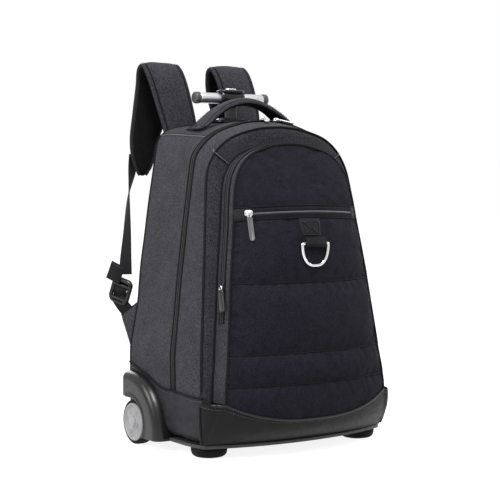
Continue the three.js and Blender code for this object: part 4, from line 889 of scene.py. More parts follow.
def side_point(y, z, side, lift=0.0):
    """A place on the bag's side at a given depth and height, lifted outward along x."""
    y, z = np.broadcast_arrays(np.asarray(y, float), np.asarray(z, float))
    shape = y.shape
    y, z = y.ravel(), z.ravel()
    y0, y1 = zip_y(z), front_y(z)
    rear = y >= y0
    share = np.where(rear, (y - y0) / (REAR - y0), (y - y0) / (y1 - y0))
    half = slice(0, HALF)
    x = np.zeros(len(y))
    for towards, pick in (("rear", rear), ("front", ~rear)):
        a, b = LOOPS["zip"][half], LOOPS[towards][half]
        xa = np.interp(z[pick], a[:, 1], a[:, 0])
        xb = np.interp(z[pick], b[:, 1], b[:, 0])
        s = np.clip(share[pick], 0, 1)
        x[pick] = xa + (xb - xa) * s + (1.5 * np.sin(math.pi * s) if towards == "front" else 0)
    points = np.stack([x * side, y, z], 1)
    fade = np.minimum(1, np.minimum(np.clip(share, 0, 1), 1 - np.clip(share, 0, 1)) * 8)
    lift = body_lift(points) * fade * np.where(rear, 1, 0.7) + lift
    points[:, 0] += side * lift
    return points.reshape(shape + (3,))


for label, side in SIDES:
    ys = np.linspace(-85, REAR - 1.2, 90)
    seam = column(SIDE_SEAM, 1, ys)
    rows = []
    for t in np.linspace(0, 1, 22):
        z = 21.6 + (seam - 21.6) * t
        round_in = 2.5 * (1 - min(t * 8, 1)) ** 2
        points = side_point(ys, z, side, 1.0 - round_in)
        rows.append(points)
    # The side leather's lighter colour is painted light on the sides
    grid(f"side_base_{label}", rows, LIT_SIDE_LEATHER, slot="leather")
    seam_path = side_point(ys, seam, side, 1.2)
    sweep(f"side_seam_piping_{label}", seam_path, circle(1.7, 8), (side, 0, 0), PIPING)
    low = side_point(ys, seam - 5, side, 1.2)
    stitches(f"side_seam_stitches_{label}", low, (side, 0, 0), pitch=3.6)

# Seam between the crown and the sides, and the short slanting one down to the front edge
TOP_SEAM = np.array([(-83, 424), (-58, 435.5), (-32, 447), (-16, 463), (7, 468.5), (50, 472), (98, 474.5),
                     (118, 473)])


def upper_point(y, z, side, lift=0.0):
    """As side_point, for a path high on the bag: y and z are single values."""
    y0, y1 = float(zip_y(z)), float(front_y(z))
    towards = "rear" if y >= y0 else "front"
    share = min((y - y0) / ((REAR if towards == "rear" else y1) - y0), 1)
    loop, out = ring(share, towards)
    half = slice(HALF // 3, HALF)
    order = np.maximum.accumulate(loop[half, 1])
    steps = np.arange(len(order))
    i = np.interp(z, order, steps)
    x, zz = (np.interp(i, steps, loop[half, k]) for k in (0, 1))
    nx, nz = (np.interp(i, steps, out[half, k]) for k in (0, 1))
    point = np.array([x * side, y, zz])
    normal = np.array([nx * side, 0, nz])
    return point + normal * (float(body_lift(point)) * (1 if towards == "rear" else 0.7) + lift), normal


for label, side in SIDES:
    path, normals = [], []
    for y in np.linspace(-37, 116, 76):
        if abs(y - 4) < 7:
            continue
        point, normal = upper_point(y, float(column(TOP_SEAM, 1, y)), side, 0.25)
        path.append(point)
        normals.append(normal)
    for part, pick in (("rear", [i for i, p in enumerate(path) if p[1] > 4]),
                       ("front", [i for i, p in enumerate(path) if p[1] < 4])):
        line, normal = np.array(path)[pick], np.array(normals)[pick]
        # Each crown seam: a lighter bead as painted highlight, and a dark cord just below it as painted
        # shadow
        sweep(f"crown_seam_{part}_{label}", line, circle(0.9, 6, 0.8), normal, HIGHLIGHT_BEAD)
        sweep(f"crown_painted_shadow_{part}_{label}", line + (0, 0, -1.3), circle(0.6, 6, 0.6), normal, PIPING)
        side_dir = np.cross(tangents(line), normal)
        for edge, offset in (("a", 3.2), ("b", -3.2)):
            stitches(f"crown_stitches_{part}_{edge}_{label}", line + side_dir * offset, normal, pitch=3.4,
                     thick=0.3, material=WEBBING)


# Dart seams on the front face, from the front piping to the pocket
for label, side in SIDES:
    t = np.linspace(0, 1, 24)
    z = 444.5 + (424 - 444.5) * t
    dart = np.stack([side * (115.2 + (86 - 115.2) * t), front_y(z) - 0.5, z], 1)
    # Each dart: a lighter bead as painted highlight, and a dark cord just below it as painted shadow
    sweep(f"dart_seam_{label}", dart, circle(1.0, 6, 0.8), (0, -1, 0), HIGHLIGHT_BEAD)
    sweep(f"dart_painted_shadow_{label}", dart + (0, -0.1, -1.6), circle(0.8, 6, 0.6), (0, -1, 0), PIPING)
    stitches(f"dart_stitches_{label}", dart + (0, -0.2, 3.0), (0, -1, 0), pitch=3.4, thick=0.3,
             material=WEBBING)

# Wheel housings
def housing_curves(count=56):
    """Outer outline and arch of the housing in y and z, point for point."""
    outer = []
    for k in range(40):
        angle = k / 39 * math.pi / 2
        outer.append((100 - 92 * math.cos(angle), 15 + 96 * math.sin(angle) ** 0.92))
    outer += [(108, 111), (113.5, 109.6), (117.6, 106.4), (119.6, 101.5), (120, 95), (120, 84), (120, 72)]
    outer = resample(outer, 1.0)
    arch = [(AXLE_BACK - ARCH_RADIUS * math.cos(a), WHEEL_RADIUS + ARCH_RADIUS * math.sin(a))
            for a in np.linspace(-math.acos(31 / ARCH_RADIUS), math.pi / 2, 40)]
    arch += [(92, 71), (98, 71), (104, 71)]
    arch = resample(arch, 1.0)

    def even(line):
        t = np.linspace(0, 1, count)
        return np.stack([np.interp(t, np.linspace(0, 1, len(line)), line[:, k]) for k in range(2)], 1)
    return even(outer), even(arch)


outer_line, arch_line = housing_curves()


def inset_line(line, amount):
    run = unit(np.gradient(line, axis=0))
    inward = np.stack([run[:, 1], -run[:, 0]], 1)
    moved = line + inward * amount
    moved[:, 1] = np.maximum(moved[:, 1], 15)
    moved[:, 0] = np.minimum(moved[:, 0], 120)
    return moved


def slice_at(x, line):
    return np.stack([np.full(len(line), x), line[:, 0], line[:, 1]], 1)


for label, side in SIDES:
    out_x = HALF_WIDTH + 18
    rows = []
    for x, inset in ((147, 0), (176, 0), (180, 0.5), (184, 2.0), (187, 4.6), (188.8, 7.6),
                     (out_x - 0.2, 10.6), (out_x, 13.0)):
        rows.append(slice_at(x, inset_line(outer_line, inset)))
    face = inset_line(outer_line, 13)
    for share in (0.35, 0.7):
        rows.append(slice_at(out_x, face * (1 - share) + inset_line(arch_line, -5.0) * share))
    for x, inset in ((out_x, -4.4), (out_x + 0.7, -3.4), (out_x + 0.7, -1.6), (out_x - 0.4, -0.3),
                     (out_x - 2, 0), (151.2, 0)):
        rows.append(slice_at(x, inset_line(arch_line, inset)))
    rows.append(np.stack([np.full(len(arch_line), 151.2), arch_line[:, 0], np.full(len(arch_line), 15.0)], 1))
    rows = np.array(rows) * (side, 1, 1)
    count, width = rows.shape[:2]
    faces = quads(count, width) + [tuple(r * width for r in range(count)),
                                   tuple(r * width + width - 1 for r in range(count - 1))]
    build(f"housing_{label}", rows.reshape(-1, 3), faces, GLOSS, slot="plastic",
          replaces=[f"wheel_housing_{label}"])


# Wheels
def turned(name, profile, centre, material, segments=72, side=1, **rest):
    """A body turned about the wheel's axis from rows of radius and x."""
    angles = around(segments)
    rows = []
    for radius, x in profile:
        rows.append(np.stack([np.full(segments, centre[0] + side * x), centre[1] + radius * np.cos(angles),
                              centre[2] + radius * np.sin(angles)], 1))
    return grid(name, rows, material, wrap_cols=True, caps=False, **rest)


for label, side in SIDES:
    centre = (side * 175.7, AXLE_BACK, WHEEL_RADIUS)
    tyre = [(29.2, -9.0), (30.5, -9.4), (32.4, -9.2), (33.6, -8.2), (34.2, -6.4), (34.4, -4), (34.4, 4),
            (34.2, 6.4), (33.6, 8.2), (32.4, 9.2), (30.5, 9.5), (29.4, 9.1), (29.2, 8.6)]
    turned(f"tyre_ring_{label}", tyre, centre, RUBBER, 96, side, body=f"wheel_{label}", slot="rubber",
           replaces=[f"tyre_{label}"])
    segments = 120
    angles = around(segments)
    rows = []
    for radius, x, relief in ((29, -8.4, 0), (29, 9.4, 0), (28.4, 10.2, 0), (27.2, 10.7, 0), (26, 10.4, 0),
                              (25.2, 9.4, 0), (24.6, 8.7, 0.2), (22.6, 8.6, 1), (19.6, 8.8, 1),
                              (16.4, 9.1, 1), (13.6, 9.4, 0.8), (12.6, 9.6, 0.2), (12, 10.2, 0),
                              (11, 10.6, 0), (9.4, 10.6, 0), (4.4, 10.6, 0), (4.4, -8.4, 0)):
        spoke = 0.5 + 0.5 * np.cos(angles * 5 + (24 - radius) * 0.09)
        depth = -1.5 * relief * np.clip((spoke - 0.3) * 2.2, 0, 1)
        rows.append(np.stack([centre[0] + side * (x + depth), centre[1] + radius * np.cos(angles),
                              centre[2] + radius * np.sin(angles)], 1))
    grid(f"wheel_hub_{label}", rows, HUB, wrap_cols=True, body=f"wheel_{label}", slot="hub",
         replaces=[f"hub_{label}"])
    pin = [(0.01, 12.6), (3, 12.9), (6.6, 12.5), (8.2, 11.9), (8.8, 11.2), (8.8, 10.9), (4, 10.9), (4, -24),
           (0.01, -24)]
    turned(f"axle_pin_{label}", pin, centre, HUB, 40, side, slot="metal", replaces=[f"axle_{label}"])


def upright(name, profile, centre, segments, material, **rest):
    """A small body turned about a vertical axis from rows of radius and z."""
    angles = around(segments)
    rows = [np.stack([centre[0] + radius * np.cos(angles), centre[1] + radius * np.sin(angles),
                      np.full(segments, centre[2] + z)], 1) for radius, z in profile]
    return grid(name, rows, material, wrap_cols=True, **rest)


# Feet: rubber domes on the tray
for label, side in SIDES:
    dome = ((0.1, 0.0), (12, 0), (18, 0.1), (21.6, 1.0), (24.2, 2.7), (25.8, 5.2), (26.7, 8.2), (27, 11),
            (27, 12.6), (26.2, 13.2), (26.2, 14.0), (27, 14.4), (27, 15.2))
    upright(f"foot_dome_{label}", dome, (side * 137.7, -56, 0), 64, RUBBER, slot="rubber",
            replaces=[f"foot_{label}"])

# Tray edge: a rounded rim round the front, over the CAD tray's flat plate
plan = [(-167.5, 7.6), (-167.5, -40), (-166.5, -58)]
for share in np.linspace(-1, 1, 61):
    plan.append((share * HALF_WIDTH * 0.94, float(base_curve(abs(share))) - 1))
plan += [(166.5, -58), (167.5, -40), (167.5, 7.6)]
plan = resample(plan, 4)
for _ in range(3):
    plan[1:-1] = (plan[:-2] + 2 * plan[1:-1] + plan[2:]) / 4
rim = np.stack([plan[:, 0], plan[:, 1], np.full(len(plan), 18.2)], 1)
rim_dir = tangents(rim)
rim_dir = np.stack([rim_dir[:, 1], -rim_dir[:, 0], np.zeros(len(rim))], 1)
rim_section = [(-2.7, -1.5), (-2.5, 0.3), (-1.6, 1.0), (1.4, 1.0), (2.3, 0.4), (2.6, -1.5)]
sweep("tray_rim", rim, rim_section, rim_dir, TRAY, slot="plastic")


# Shoulder straps: out and up are shares of half width and height, back a share of the reach
STRAP_THICK, STRAP_WIDTH, STRAP_REACH = 13.0, 68.0, 55.0
# Left place, right place, then the shares and sizes that both straps have
STRAP_ROWS = [
    (-0.395, 0.32, 0.182, 0.897, 0.853, 0.7),
    (-0.407, 0.308, 0.273, 0.977, 0.912, 1.0),
    (-0.453, 0.285, 0.345, 1.055, 0.971, 1.0),
    (-0.512, 0.233, 0.418, 1.134, 1.0, 1.0),
    (-0.547, 0.198, 0.527, 1.174, 1.015, 1.0),
    (-0.564, 0.18, 0.691, 1.189, 1.029, 1.0),
    (-0.57, 0.18, 0.855, 1.172, 1.0, 1.0),
    (-0.576, 0.198, 0.964, 1.117, 0.941, 1.0),
    (-0.616, 0.279, 1.0, 1.025, 0.882, 1.0),
    (-0.669, 0.407, 1.0, 0.951, 0.75, 1.0),
    (-0.686, 0.523, 0.982, 0.892, 0.632, 0.9),
    (-0.692, 0.581, 0.964, 0.848, 0.412, 0.75),
    (-0.692, 0.616, 0.964, 0.823, 0.191, 0.5),
]
LEFT_STRAP = [(row[0],) + row[2:] for row in STRAP_ROWS]
RIGHT_STRAP = [row[1:] for row in STRAP_ROWS]
WEBBING_ROWS = [
    (-0.744, 0.651, 1.136, 0.892, 12),
    (-0.773, 0.703, 1.118, 0.842, 30),
    (-0.849, 0.831, 0.909, 0.753, 66),
    (-0.901, 0.901, 0.709, 0.631, 92),
    (-0.93, 0.93, 0.618, 0.557, 110),
    (-0.948, 0.948, 0.555, 0.496, 127),
]
LEFT_WEBBING = [(row[0],) + row[2:] for row in WEBBING_ROWS]
RIGHT_WEBBING = [row[1:4] + (180 - row[4],) for row in WEBBING_ROWS]


def refine(rows, count):
    """Stations between the rows of a table, by a smooth curve through every row."""
    rows = np.asarray(rows, float)
    last = len(rows) - 1
    at = np.linspace(0, last, count)
    i = np.minimum(at.astype(int), last - 1)
    t = (at - i)[:, None]
    p0, p1, p2, p3 = rows[np.maximum(i - 1, 0)], rows[i], rows[i + 1], rows[np.minimum(i + 2, last)]
    return 0.5 * (2 * p1 + (p2 - p0) * t + (2 * p0 - 5 * p1 + 4 * p2 - p3) * t**2
                  + (3 * p1 - p0 - 3 * p2 + p3) * t**3)


def strap_frame(rows, count):
    stations = refine(rows, count)
    path = np.stack([stations[:, 0] * HALF_WIDTH, REAR + stations[:, 1] * STRAP_REACH,
                     BASE + stations[:, 2] * HEIGHT], 1)
    run = tangents(path)
    turn = np.radians(stations[:, 3]) if rows is LEFT_WEBBING or rows is RIGHT_WEBBING else np.zeros(count)
    wide = np.stack([np.cos(turn), np.sin(turn), np.zeros(count)], 1)
    wide = unit(wide - run * np.sum(wide * run, 1)[:, None])
    thick = np.cross(run, wide)
    return stations, path, wide, thick


def pad_height(a, groove=0.8, edge=0.4):
    """Half thickness of a stitched pad across its width, from -1 to 1."""
    a = np.abs(a)
    inside = edge + (1 - edge) * np.maximum(1 - (a / groove) ** 2.6, 0) ** 0.75
    roll = edge * (0.6 + 0.4 * np.sin(np.clip((a - groove) / (1 - groove), 0, 1) * math.pi) ** 0.8)
    rim = np.sqrt(np.maximum(1 - np.maximum(a - 0.94, 0) / 0.06, 0))
    return np.where(a < groove, inside, np.maximum(roll * rim, 0.02))


for label, rows in (("left", LEFT_STRAP), ("right", RIGHT_STRAP)):
    stations, path, wide, thick = strap_frame(rows, 150)
    end = np.linalg.norm(path - path[-1], axis=1)
    tip = np.sqrt(np.clip(1 - (1 - np.minimum(end / 16, 1)) ** 2, 0.01, 1))
    half = (np.maximum(stations[:, 3], 0.36) * tip * STRAP_WIDTH / 2)[:, None]
    depth = (stations[:, 4] * np.sqrt(tip) * STRAP_THICK / 2)[:, None]
    a = np.sin(np.linspace(-math.pi / 2, math.pi / 2, 45))[None, :]
    flat = path[:, None] + wide[:, None] * (a * half)[..., None]
    outer = flat - thick[:, None] * (pad_height(a) * depth)[..., None]
    inner = flat + thick[:, None] * (pad_height(a, 0.86, 0.45) * depth * 0.8)[..., None]
    wrinkle = 0.5 * soft(outer, 71, 34, 2)
    outer -= thick[:, None] * (wrinkle * (1 - a**4))[..., None]
    section = np.concatenate([outer, inner[:, ::-1][:, 1:-1]], 1)
    pad = grid(f"strap_pad_{label}", section, MELANGE, wrap_cols=True, caps=True, slot="melange",
               replaces=[f"shoulder_strap_{label}"])
    grid(f"strap_lining_{label}", inner[6:-2, 3:-3] + thick[6:-2, None] * 0.5, LINING, slot="panel")
    for edge, sign in (("a", 1), ("b", -1)):
        for face, direction, share, low in (("outer", -1, 0.8, 0.42), ("inner", 1, 0.9, 0.36)):
            line = path + wide * (sign * share * half) + thick * (direction * low * depth)
            if face == "outer":
                sweep(f"strap_seam_{edge}_{label}", line[4:-6] - thick[4:-6] * 0.1, circle(0.55, 6),
                      thick[4:-6] * -1, PIPING)
                side_line = path + wide * (sign * 0.865 * half) - thick * (0.5 * depth)
                stitches(f"strap_stitches_{edge}_{label}", side_line[5:-8], -thick[5:-8], pitch=3.4,
                         lift=0.35, material=WEBBING)
            else:
                sweep(f"strap_binding_{edge}_{label}", line[4:-3] + thick[4:-3] * 0.3, circle(3.0, 8, 0.4),
                      thick[4:-3], BINDING)

# Webbing, buckles, tails and wings
for label, rows in (("left", LEFT_WEBBING), ("right", RIGHT_WEBBING)):
    stations, path, wide, thick = strap_frame(rows, 90)
    top = [(-12.5, 0), (-12.1, 0.75), (-11, 0.9), (11, 0.9), (12.1, 0.75), (12.5, 0)]
    profile = np.array(top + [(12.1, -0.75), (11, -0.9), (-11, -0.9), (-12.1, -0.75)])
    section = path[:, None] + wide[:, None] * profile[None, :, :1] * 0.9
    section = section + thick[:, None] * profile[None, :, 1:]
    grid(f"webbing_band_{label}", section, WEBBING, wrap_cols=True, caps=True, slot="trim",
         replaces=[f"webbing_{label}"])


# Direction in which the wings and the straps' lower ends leave the body, in degrees, and the wings' top
WING_HEADING, WING_TOP = 123.4, 0.413


def rear_half(z):
    half = LOOPS["rear"][:HALF]
    return float(np.interp(z, half[:, 1], half[:, 0]))


def tilted(side, spot_out, back, up, tilt):
    """Origin and axes of a flat piece at the strap's lower end: along, up and out of its plane."""
    t, h = math.radians(-tilt), math.radians(WING_HEADING)
    u = np.array([math.cos(t), 0, -math.sin(t)])
    v = np.array([math.sin(t), 0, math.cos(t)])
    n = np.array([0, 1.0, 0])
    turn = np.array([[math.cos(h), -math.sin(h), 0], [math.sin(h), math.cos(h), 0], [0, 0, 1]])
    axes = [turn @ axis for axis in (u, v, n)]
    mirror = np.array([1.0 if side < 0 else -1.0, 1, 1])
    origin = np.array([side * (HALF_WIDTH + spot_out), REAR + back, BASE + up * HEIGHT])
    return origin, [axis * mirror for axis in axes]


def rounded(width, depth, corner, steps=6):
    points = []
    for quarter, (sx, sy) in enumerate(((1, 1), (-1, 1), (-1, -1), (1, -1))):
        for k in range(steps + 1):
            angle = (quarter + k / steps) * math.pi / 2
            points.append((sx * (width / 2 - corner) + math.cos(angle) * corner,
                           sy * (depth / 2 - corner) + math.sin(angle) * corner))
    return np.array(points)


for label, side in SIDES:
    origin, (u, v, n) = tilted(side, 4, 23, 0.443, 18)
    loop = rounded(29, 35, 8, 8)
    path = origin + loop[:, :1] * u + loop[:, 1:] * v + n * (1.4 * np.cos(loop[:, 1:] / 17.5 * math.pi) - 0.6)
    sweep(f"buckle_frame_{label}", path, circle(3.6, 10, 1.1), n, GLOSS, closed=True, slot="plastic",
          replaces=[f"buckle_{label}"])
    for bar, height, lift, radius in (("top", 9.5, 1.6, 2.4), ("middle", -1.0, -1.5, 2.2),
                                      ("lip", 15.5, 2.6, 2.8), ("low", -12.5, 0.6, 2.2)):
        s = np.linspace(-15.5, 15.5, 24)[:, None]
        arc = origin + s * u + v * (height + 2.2 * (1 - (s / 15.5) ** 2) * (bar == "lip")) \
            + n * (lift * (1 - (s / 17) ** 4))
        sweep(f"buckle_bar_{bar}_{label}", arc, circle(radius, 10, 0.8), n, GLOSS, slot="plastic")
    s = np.linspace(-17, 17, 40)[:, None]
    band = origin + s * v + n * (2.6 * np.sin((s + 3) / 11 * math.pi) - 0.4)
    flat_band = [(-11, -0.7), (-11, 0.7), (11, 0.7), (11, -0.7)]
    sweep(f"buckle_webbing_{label}", band, flat_band, n, WEBBING)
    root_x = 4 - rear_half(BASE + WING_TOP * HEIGHT)
    wing_spot = np.array([-side * (root_x - 10), REAR + 17, BASE + 0.372 * HEIGHT])
    lower = origin - 12 * v
    t = np.linspace(0, 1, 20)[:, None]
    band = lower + (wing_spot - lower) * t + n * (2.0 * np.sin(t * math.pi))
    sweep(f"wing_webbing_{label}", band, flat_band, n, WEBBING)
    origin, (u, v, n) = tilted(side, 12, 23, 0.508, 24)
    s = np.linspace(-16, 13, 16)[:, None]
    tail = origin + s * v + n * (0.9 * np.sin(s / 7))
    profile = [(-12.5, 0), (-12, 0.8), (12, 0.8), (12.5, 0), (12, -0.8), (-12, -0.8)]
    sweep(f"webbing_end_{label}", tail, profile, n, WEBBING, replaces=[f"webbing_tail_{label}"])
    hem = origin + 9.5 * v + np.linspace(-11, 11, 8)[:, None] * u + n * 1.1
    stitches(f"webbing_end_stitches_{label}", hem, n, pitch=3.0)


def quilted_patch(name, corners, thick, material, bow=2.0, steps=(24, 30), **rest):
    """Soft four-cornered cloth of some thickness: corners go round its outline."""
    a, b, c, d = (np.array(corner, float) for corner in corners)
    across = unit(np.cross(b - a, d - a))
    rows = []
    for s in np.linspace(0, 1, steps[0]):
        t = np.linspace(0, 1, steps[1])[:, None]
        low, high = a + (b - a) * s, d + (c - d) * s
        line = low + (high - low) * t
        rim = np.minimum(1, np.minimum(t, 1 - t) * 9) ** 0.5 * min(1, min(s, 1 - s) * 9) ** 0.5
        sag = bow * math.sin(math.pi * s) * np.sin(math.pi * t)
        front = line + across * (thick / 2 * rim + sag + 0.02)
        back = line - across * (thick / 2 * rim - sag + 0.02)
        rows.append(np.concatenate([front, back[::-1]]))
    return grid(name, rows, material, wrap_cols=True, caps=True, **rest), across


for label, side in SIDES:
    tops = [BASE + up * HEIGHT for up in (WING_TOP, 0.25, 0.365)]
    root_y = REAR + 2.2
    angle = math.radians(WING_HEADING)
    top = np.array([4 - rear_half(tops[0]), root_y, tops[0]])
    low = np.array([4 - rear_half(tops[1]), root_y, tops[1]])
    tip = np.array([top[0] + 32 * math.cos(angle), root_y + 32 * math.sin(angle), tops[2]])
    tip_low = tip + (2, -1.5, -7)
    corners = [p * (-side, 1, 1) for p in (low, tip_low, tip, top)]
    _, across = quilted_patch(f"wing_cloth_{label}", corners, 3.0, MELANGE, bow=1.2 * side, slot="melange",
                              replaces=[f"wing_{label}"])
    for edge, (p, q) in (("low", (corners[0], corners[1])), ("top", (corners[3], corners[2]))):
        middle = (np.array(corners[0]) + corners[2]) / 2
        for face in (1, -1):
            line = np.linspace(np.array(p) * 0.93 + middle * 0.07, np.array(q) * 0.9 + middle * 0.1, 24)
            t = np.linspace(0, 1, 24)[:, None]
            line = line + across * (face * 1.5 + 0.3 * np.sin(math.pi * t))
            stitches(f"wing_stitches_{edge}_{'f' if face > 0 else 'b'}_{label}", line, across * face,
                     pitch=3.2, material=WEBBING)

# Carry handle
HANDLE_ROWS = [
    (1.28, 0.04, 0.28), (1.12, 0.05, 0.4), (1.0, 0.1, 0.75), (0.82, 0.36, 1), (0.6, 0.66, 1), (0.3, 0.92, 1),
    (0, 1, 1),
]
half_rows = [(-reach, rise, thick) for reach, rise, thick in HANDLE_ROWS]
HANDLE_BACK = 55.0


def crown_at(x, y):
    share = min(max(y / REAR, 0), 1)
    loop = LOOPS["zip"] + (LOOPS["rear"] - LOOPS["zip"]) * share
    half = loop[HALF // 2:HALF]
    order = np.argsort(half[:, 0])
    return float(np.interp(abs(x), half[order, 0], half[order, 1]))


stations = refine(half_rows + HANDLE_ROWS[:-1][::-1], 121)
handle_x = stations[:, 0] * 75.0
stations[:, 2] = np.clip(stations[:, 2], 0.28, 1)
thick_mm = stations[:, 2] * 13.0
crown = np.array([crown_at(x, HANDLE_BACK) for x in handle_x])
path = np.stack([handle_x, np.full(121, HANDLE_BACK), crown + thick_mm / 2 + 1.6 + stations[:, 1] * 23.5], 1)
run = tangents(path)
wide = np.broadcast_to(np.array([0.0, 1, 0]), path.shape)
thick = np.cross(run, wide)
thick = thick * np.sign(thick[60, 2])
a = np.sin(np.linspace(-math.pi / 2, math.pi / 2, 33))[None, :]
depth = (thick_mm / 2)[:, None]
hw = (14 + 7 * np.clip((np.abs(handle_x) - 34) / 40, 0, 1) ** 1.2)[:, None]
flat = path[:, None] + wide[:, None] * (a * hw)[..., None]
outer = flat + thick[:, None] * (pad_height(a, 0.72, 0.42) * depth)[..., None]
inner = flat - thick[:, None] * (pad_height(a, 0.95, 0.6) * depth * 0.85)[..., None]
handle = grid("handle_pad", np.concatenate([outer, inner[:, ::-1][:, 1:-1]], 1), MELANGE, wrap_cols=True,
              caps=True, slot="melange", replaces=["carry_handle"])
grid("handle_lining", inner[14:-14, 2:-2] - thick[14:-14, None] * 0.4, LINING, slot="panel")
for edge, sign in (("front", -1), ("back", 1)):
    line = path + wide * (sign * 0.72 * hw) + thick * (0.42 * depth)
    sweep(f"handle_seam_{edge}", line[3:-3], circle(0.7, 6), thick[3:-3], PIPING)
    line = path + wide * (sign * 0.83 * hw) + thick * (0.52 * depth)
    stitches(f"handle_stitches_{edge}", line[3:-3], thick[3:-3], pitch=3.3, lift=0.3, material=WEBBING)
for edge, centre in (("left", 6), ("right", 114)):
    spot = path[centre] + thick[centre] * (thick_mm[centre] / 2 + 0.2)
    for number, (da, db) in enumerate((((-6, -11), (6, 11)), ((-6, 11), (6, -11)), ((-6, -11), (-6, 11)),
                                       ((6, -11), (6, 11)))):
        p = spot + run[centre] * da[0] + wide[centre] * da[1]
        q = spot + run[centre] * db[0] + wide[centre] * db[1]
        stitches(f"handle_tack_{number}_{edge}", np.linspace(p, q, 20), thick[centre], pitch=2.9,
                 material=WEBBING)

# Trolley
GRIP_Z = CROWN + 38.6
GRIP = (0, POLE_BACK, GRIP_Z)


def stacked(name, levels, centre, material, **rest):
    """Loft of rounded rectangles: width, depth, corner and height of each."""
    rows = []
    for width, depth, corner, z in levels:
        loop = rounded(width, depth, corner, 8)
        rows.append(np.stack([centre[0] + loop[:, 0], centre[1] + loop[:, 1],
                              np.full(len(loop), centre[2] + z)], 1))
    return grid(name, rows, material, wrap_cols=True, **rest)


stacked("pole_collar", [(62, 38, 12, 0), (62, 38, 12, 2.6), (61.4, 37.4, 11.8, 3.6), (60, 36, 11, 4.3),
                        (44, 29, 8, 4.9), (42, 28, 8, 5.2), (38, 26, 7.6, 6.7), (36.6, 25, 7.2, 7.0),
                        (28, 21, 5, 7.0), (26.6, 20.4, 4.6, 6.4), (21.4, 16.6, 3.2, 5.2),
                        (21.2, 16.4, 3.2, 0)], (0, POLE_BACK, CROWN + 0.6), GLOSS, slot="plastic",
        replaces=["pole_bezel"])
rivet = ((2.6, 4.2), (2.6, 5.2), (2.2, 5.7), (1.2, 5.8), (0.9, 5.0), (0.1, 5.0))
for number, x in enumerate((-24, 24)):
    upright(f"collar_rivet_{number}", rivet, (x, POLE_BACK, CROWN + 0.4), 20, SATIN, slot="metal")

rows = []
for x, ry, rz, up in ((-20.4, 9.0, 9.0, 0), (-21.4, 9.6, 9.8, 0.2), (-20.6, 10.9, 11.6, 0.6),
                      (-17, 11.6, 12.4, 0.5), (-11, 11.4, 12.2, 0.2), (-5, 11.1, 12.0, 0),
                      (0, 11.0, 12.0, 0), (5, 11.1, 12.0, 0), (11, 11.4, 12.2, 0.2), (17, 11.6, 12.4, 0.5),
                      (20.6, 10.9, 11.6, 0.6), (21.4, 9.6, 9.8, 0.2), (20.4, 9.0, 9.0, 0)):
    angles = around(48)
    top = 8.8 if abs(x) < 12 else 14.0
    rise = np.minimum(up + rz * np.sin(angles), top)
    rows.append(np.stack([np.full(48, x), POLE_BACK + ry * np.cos(angles), GRIP_Z + rise], 1))
grid("grip_body", rows, GLOSS, wrap_cols=True, body="top_stage", slot="plastic", replaces=["grip_housing"])
stacked("grip_neck", [(19, 14, 4, -13.5), (20.5, 15.4, 5, -12.5), (23, 17.4, 6, -9), (30, 20, 8, -5.5),
                      (34, 20.5, 9, -2)], GRIP, GLOSS, body="top_stage", slot="plastic")
stacked("grip_brow", [(34, 18, 7, 7.6), (44, 21, 9, 8.8), (47.6, 22, 9.6, 10.4), (47.6, 22, 9.6, 11.6),
                      (45.4, 20.6, 9, 12.9), (40, 17, 7.6, 13.8), (24, 13, 5.4, 14.2),
                      (20.6, 11.4, 4.2, 14.1), (19.2, 10.2, 3.6, 13.4), (19, 10, 3.4, 11)], GRIP, GLOSS,
        body="top_stage", slot="plastic")
stacked("release_key", [(17.8, 8.8, 3.2, 11.5), (17.8, 8.8, 3.2, 15.0), (17.2, 8.2, 3.0, 15.9),
                        (15.4, 6.6, 2.6, 16.3), (9, 3, 1.2, 16.45), (0.6, 0.3, 0.1, 16.45)], GRIP, SATIN,
        body="release_button", slot="trim", replaces=["grip_button"])
for label, side in SIDES:
    bar = [(0.1, 19), (8.2, 19), (8.5, 19.5), (8.5, 30), (8.5, 45), (8.5, 58.4), (8.3, 59.0), (8.0, 59.3),
           (0.1, 59.3)]
    turned(f"grip_tube_{label}", bar, GRIP, SATIN, 56, side, body="top_stage", slot="metal",
           replaces=[f"grip_bar_{label}"])
    cap = [(0.1, 59.4), (8.6, 59.4), (9.2, 59.9), (9.4, 61.2), (9.4, 65.4), (9.1, 67.0), (8.2, 68.1),
           (6.2, 68.7), (3.5, 68.95), (0.1, 69)]
    turned(f"grip_end_{label}", cap, GRIP, CAP, 56, side, body="top_stage", slot="plastic",
           replaces=[f"grip_cap_{label}"])

# Patch, its loop and the ring that hangs from it
PATCH_TOP, PATCH_HALF = PANEL_ZIP_Z - 3, 18.4
PATCH_LOW = PATCH_TOP - 31
RING_Z = PATCH_LOW - 8.5
RING_Y = float(pocket_y(np.array(0.0), RING_Z, 0.75)) - 0.7 - 9
px = np.linspace(-PATCH_HALF, PATCH_HALF, 33)
rows = []
for z in np.linspace(PATCH_LOW, PATCH_TOP - 3.5, 24):
    here, normal = face_point(px, z, 3.6)
    edge = np.minimum(1, np.minimum(px + PATCH_HALF, PATCH_HALF - px) / 1.4)
    low = min(1, (z - PATCH_LOW) / 1.4)
    rows.append(here - normal * (2.4 * (1 - np.minimum(edge, low)) ** 2)[:, None])
grid("patch_leather", rows, PATCH, slot="leather", replaces=["ring_patch"])
lines = [((-15, -28), (15, -28)), ((-15, -8), (15, -8)), ((-15, -28), (-15, -8)), ((15, -28), (15, -8)),
         ((-15, -28), (15, -8)), ((-15, -8), (15, -28))]
for number, (p, q) in enumerate(lines):
    x = np.linspace(p[0], q[0], 24)
    z = PATCH_TOP + np.linspace(p[1], q[1], 24)
    here, normal = face_point(x, z, 3.65)
    stitches(f"patch_stitches_{number}", here, normal, pitch=2.6, thick=0.8, material=BLACK)

